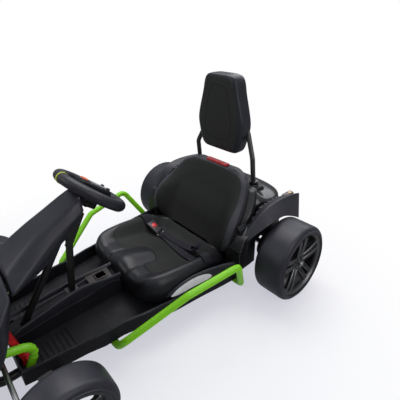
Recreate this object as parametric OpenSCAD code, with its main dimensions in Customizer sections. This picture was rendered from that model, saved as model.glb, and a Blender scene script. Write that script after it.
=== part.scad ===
// Electric drift kart for children, on its four wheels.
// Millimetres. Forward is -Y, the driver's left is +X, the floor is z = 0.
// The origin lies on the floor below the middle of the kart's length.

/* [Wheels] */
// Distance between the front and rear axles
wheelbase = 790; // [760:5:820]
// Distance from the middle of the kart to a rear tyre's outer face
rear_face_x = 400; // [390:1:420]
// Height of a rear tyre's section above its rim
rear_tyre_t = 22; // [18:0.5:25]
// Width of a rear tyre
rear_tyre_w = 112; // [100:1:118]
// Diameter of a rear rim
rear_rim_d = 226; // [210:1:232]
// Distance from the middle of the kart to a front tyre's outer face
front_face_x = 365; // [358:1:385]
// Height of a front tyre's section above its rim
front_tyre_t = 23; // [18:0.5:26]
// Width of a front tyre
front_tyre_w = 85; // [75:1:88]
// Diameter of a front rim
front_rim_d = 184; // [172:1:190]
// Radius of a tyre's shoulders
shoulder_r = 13; // [8:1:16]
// Twin spokes in a rim
spoke_count = 5; // [4:1:6]
// Width of one spoke bar
spoke_w = 11; // [8:1:13]
// Diameter of the rear axle
rear_axle_d = 20; // [16:1:24]
// Diameter of a front stub axle
stub_d = 16; // [12:1:20]

/* [Frame] */
// Diameter of the main frame tubes
rail_d = 24; // [20:1:26]
// Distance from the middle of the kart to a main rail
rail_x = 90; // [80:1:100]
// Height of the main rails' centre line
rail_z = 60; // [56:1:64]
// Diameter of the green tubes
bar_d = 21; // [18:1:24]
// Distance from the middle of the kart to a kingpin
kingpin_x = 250; // [244:1:254]
// Diameter of a kingpin
kingpin_d = 12; // [10:1:14]
// Length of a steering arm on a knuckle
arm_l = 65; // [60:1:70]
// Height of the tie rod's centre line
tie_rod_z = 125; // [123:1:130]

/* [Floor] */
// Thickness of the floor pan and of the spine
pan_wall = 4; // [3:0.5:5]
// Height of the floor pan's rim above its underside
pan_h = 48; // [42:1:54]
// Half the width of the centre spine
spine_half = 34; // [30:1:38]
// Height of the foot ribs
rib_h = 3; // [2:0.5:5]
// Distance from one foot rib to the next
rib_pitch = 14; // [12:1:20]

/* [Seat] */
// Half the width of the seat cushion
seat_half = 200; // [190:1:204]
// Width of the seat belt webbing
belt_w = 34; // [28:1:38]
// Thickness of the seat belt webbing
belt_t = 2.4; // [1.6:0.2:3]
// Thickness of the seat back
back_t = 30; // [24:1:34]

/* [Steering] */
// Diameter of the steering wheel
wheel_d = 245; // [232:1:252]
// Thickness of the steering wheel's rim
grip_d = 31; // [26:1:34]
// Tilt of the steering wheel from flat
wheel_tilt = 46; // [42:1:48]
// Diameter of the upper steering shaft
upper_shaft_d = 20; // [16:1:22]
// Diameter of the lower steering shaft
lower_shaft_d = 20; // [16:1:22]

/* [Headrest] */
// Diameter of the headrest posts
post_d = 18; // [15:1:20]
// Half the distance between the headrest posts
post_x = 144; // [136:1:150]
// Thickness of the headrest
headrest_t = 62; // [50:1:68]

/* [Rear body] */
// Thickness of the moulded body shells
shell_t = 4; // [3:0.5:5]
// Distance from the middle of the kart to the hood's rear edge
hood_end_y = 560; // [550:1:568]
// Radius of the charge socket's bore
socket_bore_r = 8; // [7:0.5:9]
// Depth of the charge socket's bore
socket_depth = 16; // [12:1:20]

/* [Hidden] */
fine = 48;
// Seat of one still piece on another, and running clearance of a shaft in its bore
seat_gap = 0.3;
run_gap = 0.05;
rear_y = 400;
front_y = rear_y - wheelbase;
rear_r = rear_rim_d / 2 + rear_tyre_t;
front_r = front_rim_d / 2 + front_tyre_t;
bar_r = bar_d / 2;
rail_r = rail_d / 2;
plastic = "#26262b";
satin = "#33343a";
inlay = "#2b2c28";
steel = "#1c1c1f";
lime = "#74c81e";

function unit(v) = v / norm(v);
function flip(p) = [-p.x, p.y, p.z];
function ease(t) = let (u = min(1, max(0, t))) u * u * (3 - 2 * u);
function arc(c, r, from, to, n) =
    [for (i = [0:n]) c + r * [cos(from + (to - from) * i / n), sin(from + (to - from) * i / n)]];

// Places its children with their z axis from a towards b
module along(a, b) {
    d = b - a;
    translate(a) rotate([0, acos(d.z / norm(d)), atan2(d.y, d.x)]) children();
}

module rod(a, b, r) {
    along(a, b) cylinder(r = r, h = norm(b - a), $fn = fine);
}

// Centre line through pts with each inner corner rounded to the radius bend.
// Each entry is a point and the direction of travel there.
function turn(pts, i) = acos(unit(pts[i] - pts[i - 1]) * unit(pts[i + 1] - pts[i]));
function corner(pts, i, bend, steps) = let (a = unit(pts[i] - pts[i - 1]), b = unit(pts[i + 1] - pts[i]),
    n = unit(b - a * (a * b)), t = turn(pts, i), start = pts[i] - a * bend * tan(t / 2))
    [for (k = [0:steps]) let (w = t * k / steps)
        [start + a * bend * sin(w) + n * bend * (1 - cos(w)), a * cos(w) + n * sin(w)]];
function bent_line(pts, bend, steps = 4) = let (m = len(pts) - 1) concat(
    [[pts[0], unit(pts[1] - pts[0])]], [for (i = [1:m - 1]) each corner(pts, i, bend, steps)],
    [[pts[m], unit(pts[m] - pts[m - 1])]]);

// Round tube bent through pts. No stretch of it runs along ref.
tube_sides = 16;
module bent_tube(pts, r, bend, ref = [0, 0, 1]) {
    loft([for (q = bent_line(pts, bend)) let (u = unit(cross(ref, q[1])), v = cross(q[1], u))
        [for (k = [0:tube_sides - 1]) let (w = -360 * (k + 0.5) / tube_sides) q[0] + r * (u * cos(w) + v * sin(w))]]);
}

// Solid through rings of equally many points. Someone who looks from the first
// ring towards the last sees each ring run anticlockwise.
module loft(rings, strips = true) {
    n = len(rings[0]);
    m = len(rings);
    sides = [for (i = [0:m - 2], j = [0:n - 1]) let (k = (j + 1) % n)
        each [[i * n + j, i * n + k, (i + 1) * n + k], [i * n + j, (i + 1) * n + k, (i + 1) * n + j]]];
    // Each end is closed by strips across the ring, or by one flat face
    across = strips ? [for (j = [0:ceil(n / 2) - 2]) let (a = j, b = j + 1, c = n - 2 - j, d = n - 1 - j)
        each b == c ? [[a, b, d]] : [[a, b, c], [a, c, d]]] : [[for (j = [0:n - 1]) j]];
    first = [for (face = across) [for (i = [len(face) - 1:-1:0]) face[i]]];
    last = [for (face = across) [for (i = face) (m - 1) * n + i]];
    polyhedron([for (ring = rings) each ring], concat(sides, first, last), convexity = 8);
}

// The left one and its mirror image on the right
module both_sides() {
    children();
    mirror([1, 0, 0]) children();
}

// Frame

front_loop_y = front_y - 160;
beam_y = front_y + 42;
seat_front_y = -86;
rail_end = rear_y + 92;
loop_rise = 14;
loop_x = rail_x - 30;
beam_r = 11;
knuckle_half_h = 25;
yoke_t = 6;
yoke_x = kingpin_x - 24;
module chassis_frame() color(steel) {
    rail = [[rail_x, rail_end, rail_z], [rail_x, front_y - 70, rail_z], [loop_x, front_loop_y, rail_z + loop_rise]];
    beam = [[yoke_x - 6, front_y, rail_z], [yoke_x - 46, beam_y, rail_z]];
    bent_tube([each rail, flip(rail[2]), flip(rail[1]), flip(rail[0])], rail_r, 34);
    bent_tube([each beam, flip(beam[1]), flip(beam[0])], beam_r, 24);
    both_sides() {
        front_yoke();
        // Axle plate
        difference() {
            translate([rail_x - 4, rear_y - 26, rail_z]) cube([8, 52, rear_r - rail_z + 26]);
            axle_hole();
        }
    }
    for (y = [-60, 226, rail_end - 12])
        rod([-rail_x, y, rail_z], [rail_x, y, rail_z], rail_r - 2);
}
// The yoke holds the kingpin, and the knuckle turns on it
module front_yoke() {
    low = front_r - knuckle_half_h - seat_gap - yoke_t;
    high = front_r + knuckle_half_h + seat_gap;
    translate([yoke_x - 12, front_y - 16, rail_z - 8]) cube([8, 32, high + yoke_t - rail_z + 8]);
    for (z = [low, high])
        translate([yoke_x - 10, front_y - 14, z]) cube([kingpin_x - yoke_x + 23, 28, yoke_t]);
    translate([kingpin_x, front_y, low]) cylinder(d = kingpin_d, h = high + yoke_t - low, $fn = fine);
}
module axle_hole() {
    translate([0, rear_y, rear_r]) rotate([0, 90, 0])
        cylinder(r = rear_axle_d / 2 + run_gap, h = 2 * rail_x + 40, center = true, $fn = fine);
}

// Floor pan. Columns: y, half the width
pan_z = rail_z + rail_r + seat_gap;
pan_end_y = 255;
pan_front_y = front_y - 35;
pan_outline = [[pan_front_y, 150], [front_y + 10, 158], [front_y + 119, 171], [front_y + 166, 182],
    [-170, 184], [-100, seat_half], [-55, seat_half + 6], [6, seat_half + 16], [90, seat_half + 24],
    [169, seat_half + 35], [pan_end_y, seat_half + 44]];
function pan_shape(inset, y_inset) = let (n = len(pan_outline) - 1) concat(
    [for (i = [0:n]) [pan_outline[i][1] - inset, pan_outline[i][0] + y_inset * (i == 0 ? 1 : i == n ? -1 : 0)]],
    [for (i = [n:-1:0]) [inset - pan_outline[i][1], pan_outline[i][0] + y_inset * (i == 0 ? 1 : i == n ? -1 : 0)]]);
module floor_pan() color(plastic) {
    difference() {
        translate([0, 0, pan_z]) linear_extrude(pan_h) polygon(pan_shape(0, 0));
        translate([0, 0, pan_z + pan_wall]) linear_extrude(pan_h) polygon(pan_shape(pan_wall, pan_wall));
        // Well for the lower shaft and its arm, below the spine
        translate([-spine_half + pan_wall, pan_front_y - 1, pan_z - 1])
            cube([2 * (spine_half - pan_wall), 110, pan_h + 2]);
    }
    // Foot ribs
    both_sides() for (i = [0:6])
        translate([58, front_y + 22 + i * rib_pitch, pan_z + pan_wall - 1]) cube([78, 6, rib_h + 1]);
    // Turned-out rim
    translate([0, 0, pan_z + pan_h - 5]) linear_extrude(5) difference() {
        polygon(pan_shape(-3, 0));
        polygon(pan_shape(pan_wall - 1, pan_wall - 1));
    }
}

// Spine between the footwells. Columns: y, height above the pan's floor
spine_floor = pan_z + pan_wall;
spine_rows = [[pan_front_y + pan_wall, 42], [front_y + 25, 46], [-264, 57], [-204, 57], [-166, 65], [-112, 65],
    [seat_front_y - seat_gap, 54]];
function spine_ring(row, half, drop, bottom) = let (z = spine_floor + row[1] - drop) [
    [-half, row[0], bottom], [half, row[0], bottom], [half, row[0], z - 8], [half - 8, row[0], z],
    [8 - half, row[0], z], [-half, row[0], z - 8]];
socket_y = -139;
socket_z = spine_floor + lookup(socket_y, spine_rows);
socket_flange_r = socket_bore_r + 8;
module centre_spine() color(satin) difference() {
    loft([for (row = spine_rows) spine_ring(row, spine_half, 0, spine_floor)]);
    loft([for (row = spine_rows) spine_ring(row + [row[0] < -200 ? -1 : 1, 0],
        spine_half - pan_wall, pan_wall, spine_floor - 1)]);
    lower_shaft_line(lower_shaft_d / 2 + 2);
    translate([0, socket_y, socket_z - 30]) cylinder(r = socket_bore_r + 4, h = 60, $fn = fine);
}

module charge_socket() color("#18181a") difference() {
    union() {
        translate([0, socket_y, socket_z + seat_gap]) cylinder(r = socket_flange_r, h = 5 - seat_gap, $fn = fine);
        translate([0, socket_y, socket_z + 5 - socket_depth - 4])
            cylinder(r = socket_bore_r + 3.7, h = socket_depth + 2, $fn = fine);
    }
    translate([0, socket_y, socket_z + 5 - socket_depth]) cylinder(r = socket_bore_r, h = socket_depth + 1, $fn = fine);
}

// Front wheels' knuckles and the tie rod between them
arm_y = front_y - arm_l;
arm_z = tie_rod_z - 18;
joint_pin_r = 4;
stub_end = front_face_x - 6;
module knuckle() {
    difference() {
        union() {
            translate([kingpin_x, front_y, front_r - knuckle_half_h]) cylinder(r = 13, h = 2 * knuckle_half_h, $fn = fine);
            rod([kingpin_x + 6, front_y, front_r], [stub_end, front_y, front_r], stub_d / 2);
            translate([kingpin_x - 9, arm_y, arm_z - 4]) cube([18, arm_l, 8]);
            translate([kingpin_x, arm_y, arm_z - 4]) cylinder(r = 9, h = 8, $fn = fine);
        }
        translate([kingpin_x, front_y, front_r - 40]) cylinder(r = kingpin_d / 2 + run_gap, h = 80, $fn = fine);
        translate([kingpin_x, arm_y, arm_z - 10]) cylinder(r = joint_pin_r + run_gap, h = 20, $fn = fine);
    }
}
module knuckle_left() color(steel) knuckle();
module knuckle_right() color(steel) mirror([1, 0, 0]) knuckle();

tie_peg_r = 5;
module tie_rod() color("silver") {
    rod([-kingpin_x, arm_y, tie_rod_z], [kingpin_x, arm_y, tie_rod_z], 6);
    both_sides() translate([kingpin_x, arm_y, arm_z - 8])
        cylinder(r = joint_pin_r, h = tie_rod_z - arm_z + 8, $fn = fine);
    translate([0, arm_y, arm_z - 15]) cylinder(r = tie_peg_r, h = tie_rod_z - arm_z + 15, $fn = fine);
}

// Steering. The upper and lower shafts meet in a ball joint inside the cover.
wheel_centre = [0, -141, 454];
upper_axis = [0, sin(wheel_tilt), cos(wheel_tilt)];
ball_t = 92;
ball_joint = wheel_centre - ball_t * upper_axis;
lower_aim = [0, front_y + 23, 127];
lower_axis = unit(ball_joint - lower_aim);
arm_side = [0, -lower_axis.z, lower_axis.y];
// Foot of the lower shaft: the point on its axis that lies arm_l from the tie rod's peg
foot_shift = (arm_y - ball_joint.y - arm_l * arm_side.y) / lower_axis.y;
shaft_foot = ball_joint + foot_shift * lower_axis;
ball_r = 11.7;
module at_wheel() translate(wheel_centre) rotate([-wheel_tilt, 0, 0]) children();
module lower_shaft_line(r) rod(shaft_foot - 30 * lower_axis, ball_joint - 40 * lower_axis, r);
module steering_shaft_lower() color(steel) {
    rod(shaft_foot, ball_joint, lower_shaft_d / 2);
    translate(ball_joint) sphere(r = ball_r, $fn = fine);
    // Forked arm round the tie rod's peg
    slot = 2 * (tie_peg_r + 2);
    multmatrix([[1, 0, 0, shaft_foot.x], [0, arm_side.y, lower_axis.y, shaft_foot.y],
        [0, arm_side.z, lower_axis.z, shaft_foot.z]]) {
        translate([0, 0, -3]) linear_extrude(6) difference() {
            union() {
                circle(r = 14, $fn = fine);
                polygon([[-10, 0], [10, 0], [12, arm_l - 16], [12, arm_l + 12], [-12, arm_l + 12], [-12, arm_l - 16]]);
            }
            translate([-slot / 2, arm_l - 12]) square([slot, 40]);
        }
    }
}
bearing_t = 58;
module steering_shaft_upper() color(steel) {
    at_wheel() {
        translate([0, 0, 14 - ball_t]) cylinder(d = upper_shaft_d, h = ball_t - 32, $fn = fine);
        translate([0, 0, -42]) cylinder(r1 = 24, r2 = 30, h = 24, $fn = fine);
        // Cup of the ball joint
        translate([0, 0, -4 - ball_t]) difference() {
            cylinder(r = 16, h = 20, $fn = fine);
            translate([0, 0, -1]) cylinder(r = ball_r + seat_gap, h = 5 + ball_r + seat_gap, $fn = fine);
        }
    }
}
wheel_ring_r = (wheel_d - grip_d) / 2;
hub_half = 34;
hub_rise = 20;
module steering_wheel() color(plastic) at_wheel() {
    rotate_extrude($fn = 96) translate([wheel_ring_r, 0]) circle(d = grip_d, $fn = fine);
    // Two side spokes and the lower spoke
    spoke_reach = wheel_ring_r - grip_d / 2 + 5;
    for (side = [-1, 1])
        translate([side > 0 ? hub_half : -spoke_reach, -15, -13]) cube([spoke_reach - hub_half, 30, 14]);
    translate([-20, hub_half, -13]) cube([40, spoke_reach - hub_half, 14]);
}
module steering_hub() color(satin) at_wheel() {
    difference() {
        translate([0, 0, -18 + seat_gap]) linear_extrude(hub_rise + 18) polygon(concat(
            arc([hub_half - 12 - seat_gap, hub_half - 12 - seat_gap], 12, 0, 90, 5),
            arc([12 + seat_gap - hub_half, hub_half - 12 - seat_gap], 12, 90, 180, 5),
            arc([20 - hub_half, -40], 18, 180, 270, 5), arc([hub_half - 20, -40], 18, 270, 360, 5)));
        translate([0, -34, hub_rise - 3]) cylinder(r = 14.3, h = 10, $fn = fine);
        for (x = [-16, 16])
            translate([x, 18, hub_rise - 3]) cylinder(r = 6.3, h = 10, $fn = fine);
    }
}
module wheel_buttons() color("orangered") at_wheel() {
    translate([0, -34, hub_rise - 3]) cylinder(r = 14, h = 6, $fn = fine);
    for (x = [-16, 16])
        translate([x, 18, hub_rise - 3]) cylinder(r = 6, h = 8, $fn = fine);
}

// Column support: a square strut on the spine, two cheeks and the shaft's bearing
strut_y = -232;
strut_foot_z = spine_floor + lookup(strut_y, spine_rows) + seat_gap;
bearing_c = wheel_centre - bearing_t * upper_axis;
cheek_in = 19;
boss_y = -193;
boss_z = 385;
module column_support() color(steel) {
    translate([-12, strut_y - 12, strut_foot_z]) cube([24, 24, 290 - strut_foot_z]);
    translate([-18, strut_y - 20, strut_foot_z]) cube([36, 40, 6]);
    translate([-cheek_in - 2, strut_y - 10, 276]) cube([2 * cheek_in + 4, 20, 12]);
    // Bosses that carry the cover
    both_sides() translate([cheek_in + 2, boss_y, boss_z]) rotate([0, 90, 0])
        cylinder(r = 6, h = cover_inner - cheek_in - 2, $fn = fine);
    both_sides() translate([cheek_in, 0, 0]) rotate([90, 0, 90]) linear_extrude(4)
        polygon([[strut_y - 12, 278], [strut_y + 12, 278], [bearing_c.y + 14, bearing_c.z - 6],
            [bearing_c.y + 8, bearing_c.z + 10], [bearing_c.y - 12, bearing_c.z + 4]]);
    difference() {
        at_wheel() translate([-cheek_in - 2, -15, -bearing_t - 13]) cube([2 * cheek_in + 4, 30, 26]);
        at_wheel() translate([0, 0, -100]) cylinder(r = upper_shaft_d / 2 + run_gap, h = 100, $fn = fine);
    }
}

// Column cover. Columns: share of the way from the wheel to the nose, top half width, top z, shoulder half width, shoulder z,
// lower half width, lower z
cover_back_y = -160;
cover_shares = [[0, 36, 431, 50, 404, 50, 374], [0.19, 42, 451, 56, 412, 54, 352],
    [0.43, 44, 421, 66, 380, 58, 333], [0.62, 48, 396, 78, 350, 64, 311],
    [0.81, 54, 366, 92, 322, 72, 293], [1, 62, 333, 108, 298, 84, 284]];
cover_rows = [for (r = cover_shares) concat([cover_back_y + r[0] * (front_y - 10 - cover_back_y)], [for (i = [1:6]) r[i]])];
// Half width of the cover's inside at the bosses
cover_inner = lookup(-boss_y, [for (r = cover_rows) [-r[0], r[5] + (r[3] - r[5]) * (boss_z - r[6]) / (r[4] - r[6])]])
    - shell_t - 4 * seat_gap;
function cover_ring(r, t, drop) = [[-(r[5] - t), r[0], r[6] - drop], [r[5] - t, r[0], r[6] - drop],
    [r[3] - t, r[0], r[4]], [r[1] - t, r[0], r[2] - t], [t - r[1], r[0], r[2] - t], [t - r[3], r[0], r[4]]];
function reversed(list) = [for (i = [len(list) - 1:-1:0]) list[i]];
module column_cover() color(satin) difference() {
    loft(reversed([for (r = cover_rows) cover_ring(r, 0, 0)]));
    loft(reversed([for (i = [0:len(cover_rows) - 1])
        cover_ring(cover_rows[i] + [i == 0 ? 1 : i == len(cover_rows) - 1 ? -1 : 0, 0, 0, 0, 0, 0, 0], shell_t, 6)]));
    at_wheel() translate([0, 0, -60]) cylinder(r = 35, h = 80, $fn = fine);
}

// Nose cone: a thin shell over the front axle. Columns as for the cover.
nose_rows = [[front_y - 10 - seat_gap, 62, 333, 108, 298, 84, 284], [front_y - 50, 74, 304, 132, 262, 140, 190],
    [front_y - 100, 84, 256, 150, 210, 168, 140], [front_y - 145, 88, 205, 160, 160, 196, 92],
    [front_y - 180, 84, 160, 158, 124, 200, 66], [front_y - 200, 70, 128, 140, 104, 176, 62],
    [front_y - 205, 60, 108, 120, 92, 150, 60]];
module nose_cone() color(satin) {
    nose_shell();
    nose_ribs();
}
module nose_shell() difference() {
    nose_outside();
    loft(reversed([for (i = [0:len(nose_rows) - 2])
        cover_ring(nose_rows[i] + [i == 0 ? 1 : 0, 0, 0, 0, 0, 0, 0], shell_t, 8)]));
    both_sides() lamp_pocket(seat_gap);
}
module nose_outside() loft(reversed([for (r = nose_rows) cover_ring(r, 0, 0)]));
// Ribs that stand the nose against the frame's front loop
module nose_ribs() intersection() {
    nose_outside();
    for (x = [-40, 36])
        translate([x, front_y - 204, rail_z]) cube([4, 204 - 160 - rail_r - seat_gap, 60]);
}
lamp_y = front_y - 178;
module lamp_pocket(extra) {
    translate([118, lamp_y, 116]) rotate([62, 0, 24]) cylinder(r = 20 + extra, h = 60, center = true, $fn = fine);
}
module headlamps() color("#cfd6dc") both_sides()
    translate([118, lamp_y, 116]) rotate([62, 0, 24]) translate([0, 0, -6]) cylinder(r = 20, h = 18, $fn = fine);

// Toe bar: a low hoop from the floor, over the toes and across ahead of the pedals
hoop_x = 130;
module toe_bar() color(lime) {
    foot = [hoop_x, front_y - 21, spine_floor + seat_gap + bar_r * 0.55];
    knee = [hoop_x, front_y + 16, 158];
    toe = [hoop_x - 12, front_y - 80, 176];
    bent_tube([foot, knee, toe, flip(toe), flip(knee), flip(foot)], bar_r, 26);
}

// Pedals
pedal_x = 82;
pedal_y = front_y - 10;
module pedal(x) translate([x, pedal_y, spine_floor]) {
    translate([-14, -12, 0]) cube([28, 24, 12]);
    rotate([14, 0, 0]) {
        translate([-8, -6, 4]) cube([16, 8, 50]);
        translate([-24, -4, 22]) cube([48, 8, 88]);
        for (z = [30:14:100])
            translate([-20, 3, z]) cube([40, 4, 6]);
    }
}
module accelerator_pedal() color(plastic) pedal(-pedal_x);
module brake_pedal() color("firebrick") pedal(pedal_x);

// Seat. Columns: y, half width as a share, underside z, thigh z, side roll z, pommel height
seat_rail_z = pan_z + pan_wall;
seat_under = seat_rail_z + 10;
seat_rows = [[seat_front_y, 0.7, 116, 136, 138, 2], [-80, 0.78, 112, 154, 162, 5], [-64, 0.86, 106, 166, 180, 8],
    [-36, 0.94, 97, 165, 187, 12], [10, 0.98, seat_under, 153, 187, 12], [70, 1, seat_under, 141, 184, 6],
    [130, 1, seat_under, 129, 178, 0], [178, 0.98, seat_under, 121, 170, 0], [205, 0.96, seat_under, 128, 158, 0],
    [225, 0.94, seat_under, 142, 152, 0], [236, 0.93, seat_under, 149, 150, 0]];
function column(rows, c) = [for (row = rows) [row[0], row[c]]];
function seat_top(x, y) = let (half = seat_half * lookup(y, column(seat_rows, 1)), u = abs(x) / half,
    thigh = lookup(y, column(seat_rows, 3)), roll = lookup(y, column(seat_rows, 4)))
    thigh + (roll - thigh) * ease((u - 0.58) / 0.28) + lookup(y, column(seat_rows, 5)) * (1 - ease(u / 0.28))
    - 26 * pow(max(0, u - 0.84) / 0.16, 2.4);
seat_shares = [1, 0.98, 0.94, 0.88, 0.8, 0.72, 0.66, 0.6, 0.3, 0.2, 0.1, 0];
function seat_ring(row) = let (half = seat_half * row[1], y = row[0],
    right = concat([[half - 16, y, row[2]], [half - 2, y, row[2] + 12]],
        [for (s = seat_shares) [half * s, y, max(row[2] + 20, seat_top(half * s, y))]]))
    concat([for (p = right) p], [for (i = [len(right) - 2:-1:0]) flip(right[i])]);
module seat_base() color(plastic) loft([for (row = seat_rows) seat_ring(row)], strips = false);
module seat_rails() color(steel) both_sides()
    translate([94, -60, seat_rail_z]) cube([32, 280, seat_under - seat_rail_z]);

// Seat back. Columns: z, half width, face y at the middle, rim's lead over the face
back_rows = [[396, 92, 371, 2], [393, 112, 366, 2], [384, 138, 358, 4], [370, 164, 350, 0], [340, 182, 333, -8],
    [310, 198, 317, -22], [270, 214, 294, -46], [230, 216, 274, -52], [195, 208, 260, -44],
    [170, 196, 249, -26], [150 + seat_gap, 187, 239, -8]];
function back_ring(r) = let (s = [-1, -0.985, -0.94, -0.86, -0.76, -0.64, -0.52, -0.36, -0.18, 0], half = r[1],
    front = [for (u = s) [half * u, r[2] + r[3] * ease((abs(u) - 0.52) / 0.4) + 9 * pow(max(0, abs(u) - 0.9) / 0.1, 2), r[0]]],
    rear = [for (u = s) [half * u * 0.985, r[2] + back_t + 0.8 * r[3] * ease((abs(u) - 0.52) / 0.44), r[0]]])
    concat(front, [for (i = [len(s) - 2:-1:0]) flip(front[i])],
        [for (i = [0:len(s) - 1]) flip(rear[i])], [for (i = [len(s) - 2:-1:0]) rear[i]]);
module seat_back() color(plastic) loft([for (r = back_rows) back_ring(r)]);

// Seat belt: flat webbing along the seat. Its route is chosen by hand.
belt_lift = 2.2;
function across_seat(route) = [for (p = route) [p.x * seat_half, p.y]];
belt_route = across_seat([[-0.97, 163], [-0.94, 161], [-0.9, 159], [-0.85, 156], [-0.79, 153], [-0.74, 151]]);
belt_route_long = across_seat([[-0.35, 160], [-0.25, 166], [-0.1, 172], [0.1, 176], [0.3, 178], [0.42, 177], [0.5, 175],
    [0.57, 172], [0.6, 170.5], [0.64, 169], [0.67, 168], [0.7, 167], [0.76, 166], [0.81, 165], [0.86, 165], [0.905, 165],
    [0.94, 165], [0.97, 165]]);
function on_seat(p) = [p.x, p.y, seat_top(p.x, p.y) + belt_lift];
function belt_ring(route, i) = let (a = route[max(0, i - 1)], b = route[min(len(route) - 1, i + 1)], d = unit(b - a),
    side = [-d.y, d.x] * belt_w / 2, left = on_seat(route[i] + side), right = on_seat(route[i] - side), rise = [0, 0, belt_t])
    [left, right, right + rise, left + rise];
module seat_belt() color("#1b1b1d") {
    loft([for (i = [0:len(belt_route) - 1]) belt_ring(belt_route, i)]);
    loft([for (i = [0:len(belt_route_long) - 1]) belt_ring(belt_route_long, i)]);
}
buckle_mid = [-0.56 * seat_half, 154];
buckle_reach = 29;
buckle_lift = 1.9;
module belt_buckle() color("#202022") {
    high = seat_top(buckle_mid.x - buckle_reach, buckle_mid.y);
    low = seat_top(buckle_mid.x + buckle_reach, buckle_mid.y);
    translate([buckle_mid.x, buckle_mid.y, (high + low) / 2 + buckle_lift])
        rotate([0, atan((high - low) / (2 * buckle_reach)), 8]) difference() {
            translate([-buckle_reach, -19, 0]) cube([2 * buckle_reach, 38, 14]);
            translate([-22, -11, 10]) cube([20, 22, 6]);
        }
}

// Green side bars
bar_end_x = rail_x + rail_r + seat_gap;
function side_bar_path(side) = [for (p = [[bar_end_x, 243, rail_z], [seat_half + 62, 243, rail_z],
    [seat_half + 127, 146, 224], [seat_half + 94, -22, 198], [seat_half + 23, -182, 94],
    [seat_half - 4, -196, rail_z], [bar_end_x, -196, rail_z]]) [side * p.x, p.y, p.z]];
module side_bar_left() color(lime) bent_tube(side_bar_path(1), bar_r, 26);
module side_bar_right() color(lime) bent_tube(side_bar_path(-1), bar_r, 26);

// Side panels below the cushion's rolls. Columns: y, outer x, top z
panel_rows = [for (r = [[-84, 2, 136], [-40, 10, 150], [30, 16, 158], [110, 22, 158], [180, 36, 156], [236, 50, 150]])
    [r[0], seat_half + r[1], r[2]]];
panel_foot = pan_z + pan_h + seat_gap;
function panel_ring(r) = [[r[1] - 12, r[0], panel_foot], [r[1] - 1, r[0], panel_foot], [r[1] + 2, r[0], panel_foot + 10],
    [r[1] - 4, r[0], r[2] - 4], [r[1] - 9, r[0], r[2]], [r[1] - 13, r[0], r[2] - 4]];
module side_panels() color(satin) both_sides() loft([for (r = panel_rows) panel_ring(r)]);
// Pale plates on the panels. Columns: y, low z, high z
lens_rows = [[22, 133, 140], [46, 133, 149], [76, 133, 150], [100, 133, 147], [116, 133, 141]];
function panel_face(y, z) = let (foot = panel_foot + 10, top = lookup(y, column(panel_rows, 2)) - 4)
    lookup(y, column(panel_rows, 1)) + 2 - 6 * (z - foot) / (top - foot) + seat_gap;
module lens_plates() color("gainsboro") both_sides() loft([for (r = lens_rows)
    let (low = panel_face(r[0], r[1]), high = panel_face(r[0], r[2]))
    [[low, r[0], r[1]], [low + 3, r[0], r[1]], [high + 2, r[0], r[2]], [high, r[0], r[2]]]]);

module battery() color("dimgray")
    translate([-rail_x - 6, 274, pan_z]) cube([2 * rail_x + 12, 94, 68]);

// Rear body: an open-bottomed shell round the axle. Columns: y, half width, top z, lean
body_top = 262;
body_low = pan_z + 12;
body_rows = [[pan_end_y + seat_gap, 236], [320, 234], [345, 232], [440, 232], [480, 224], [530, 204],
    [hood_end_y - 4, 176]];
function body_ring(r, t) = [[-(r[1] - t), r[0], body_low - t * 2], [r[1] - t, r[0], body_low - t * 2],
    [r[1] - t, r[0], body_top - 10 - t], [r[1] - 10 - t, r[0], body_top - t], [10 + t - r[1], r[0], body_top - t],
    [t - r[1], r[0], body_top - 10 - t]];
module rear_body() color(plastic) difference() {
    last = len(body_rows) - 1;
    loft([for (r = body_rows) body_ring(r, 0)]);
    loft([for (i = [0:last]) body_ring(body_rows[i] + [i == 0 ? shell_t : i == last ? -shell_t : 0, 0], shell_t)]);
    // Bay for the seat back
    rotate([90, 0, 90]) translate([0, 0, -222]) linear_extrude(444)
        polygon([[200, 146], [278, 146], [334, 263], [334, 300], [200, 300]]);
    // Room for the axle, the gearboxes and the motors
    translate([0, rear_y, rear_r]) rotate([0, 90, 0]) cylinder(r = 52, h = 700, center = true, $fn = fine);
    translate([-350, rear_y - 52, 40]) cube([700, 154, rear_r]);
    translate([-rail_x - rail_r - 6, rear_y, 40]) cube([2 * (rail_x + rail_r + 6), 300, body_low + 26 - 40]);
}

// Hood behind the seat. Columns: middle y at z 300, lean, half width, top z, side z
hood_low = body_top + seat_gap;
hood_rows = [[354, 0.56, 196, 372, 292], [380, 0.5, 216, 358, 288], [420, 0.3, 226, 334, 284], [460, 0.14, 222, 326, 282],
    [510, 0.05, 204, 316, 280], [545, 0, 172, 304, 278], [hood_end_y, 0, 140, 290, 274]];
function hood_ring(r) = let (pts = concat([[-r[2], hood_low], [r[2], hood_low]],
    [for (s = [1, 0.97, 0.9, 0.78, 0.62, 0.42, 0.2, 0, -0.2, -0.42, -0.62, -0.78, -0.9, -0.97, -1])
        [r[2] * s, r[4] + (r[3] - r[4]) * sqrt(1 - s * s)]]))
    [for (p = pts) [p.x, r[0] + r[1] * (p.y - 300), p.y]];
clamp_z = 306;
clamp_r = 19;
module rear_hood() color("#1d1d20") difference() {
    loft([for (r = hood_rows) hood_ring(r)]);
    both_sides() translate([post_x, 430, clamp_z - seat_gap]) cylinder(r = clamp_r + seat_gap, h = 60, $fn = fine);
}

module hood_tab() color("crimson") translate([-52, 373, back_rows[0][0] + seat_gap]) cube([104, 20, 6]);

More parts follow.
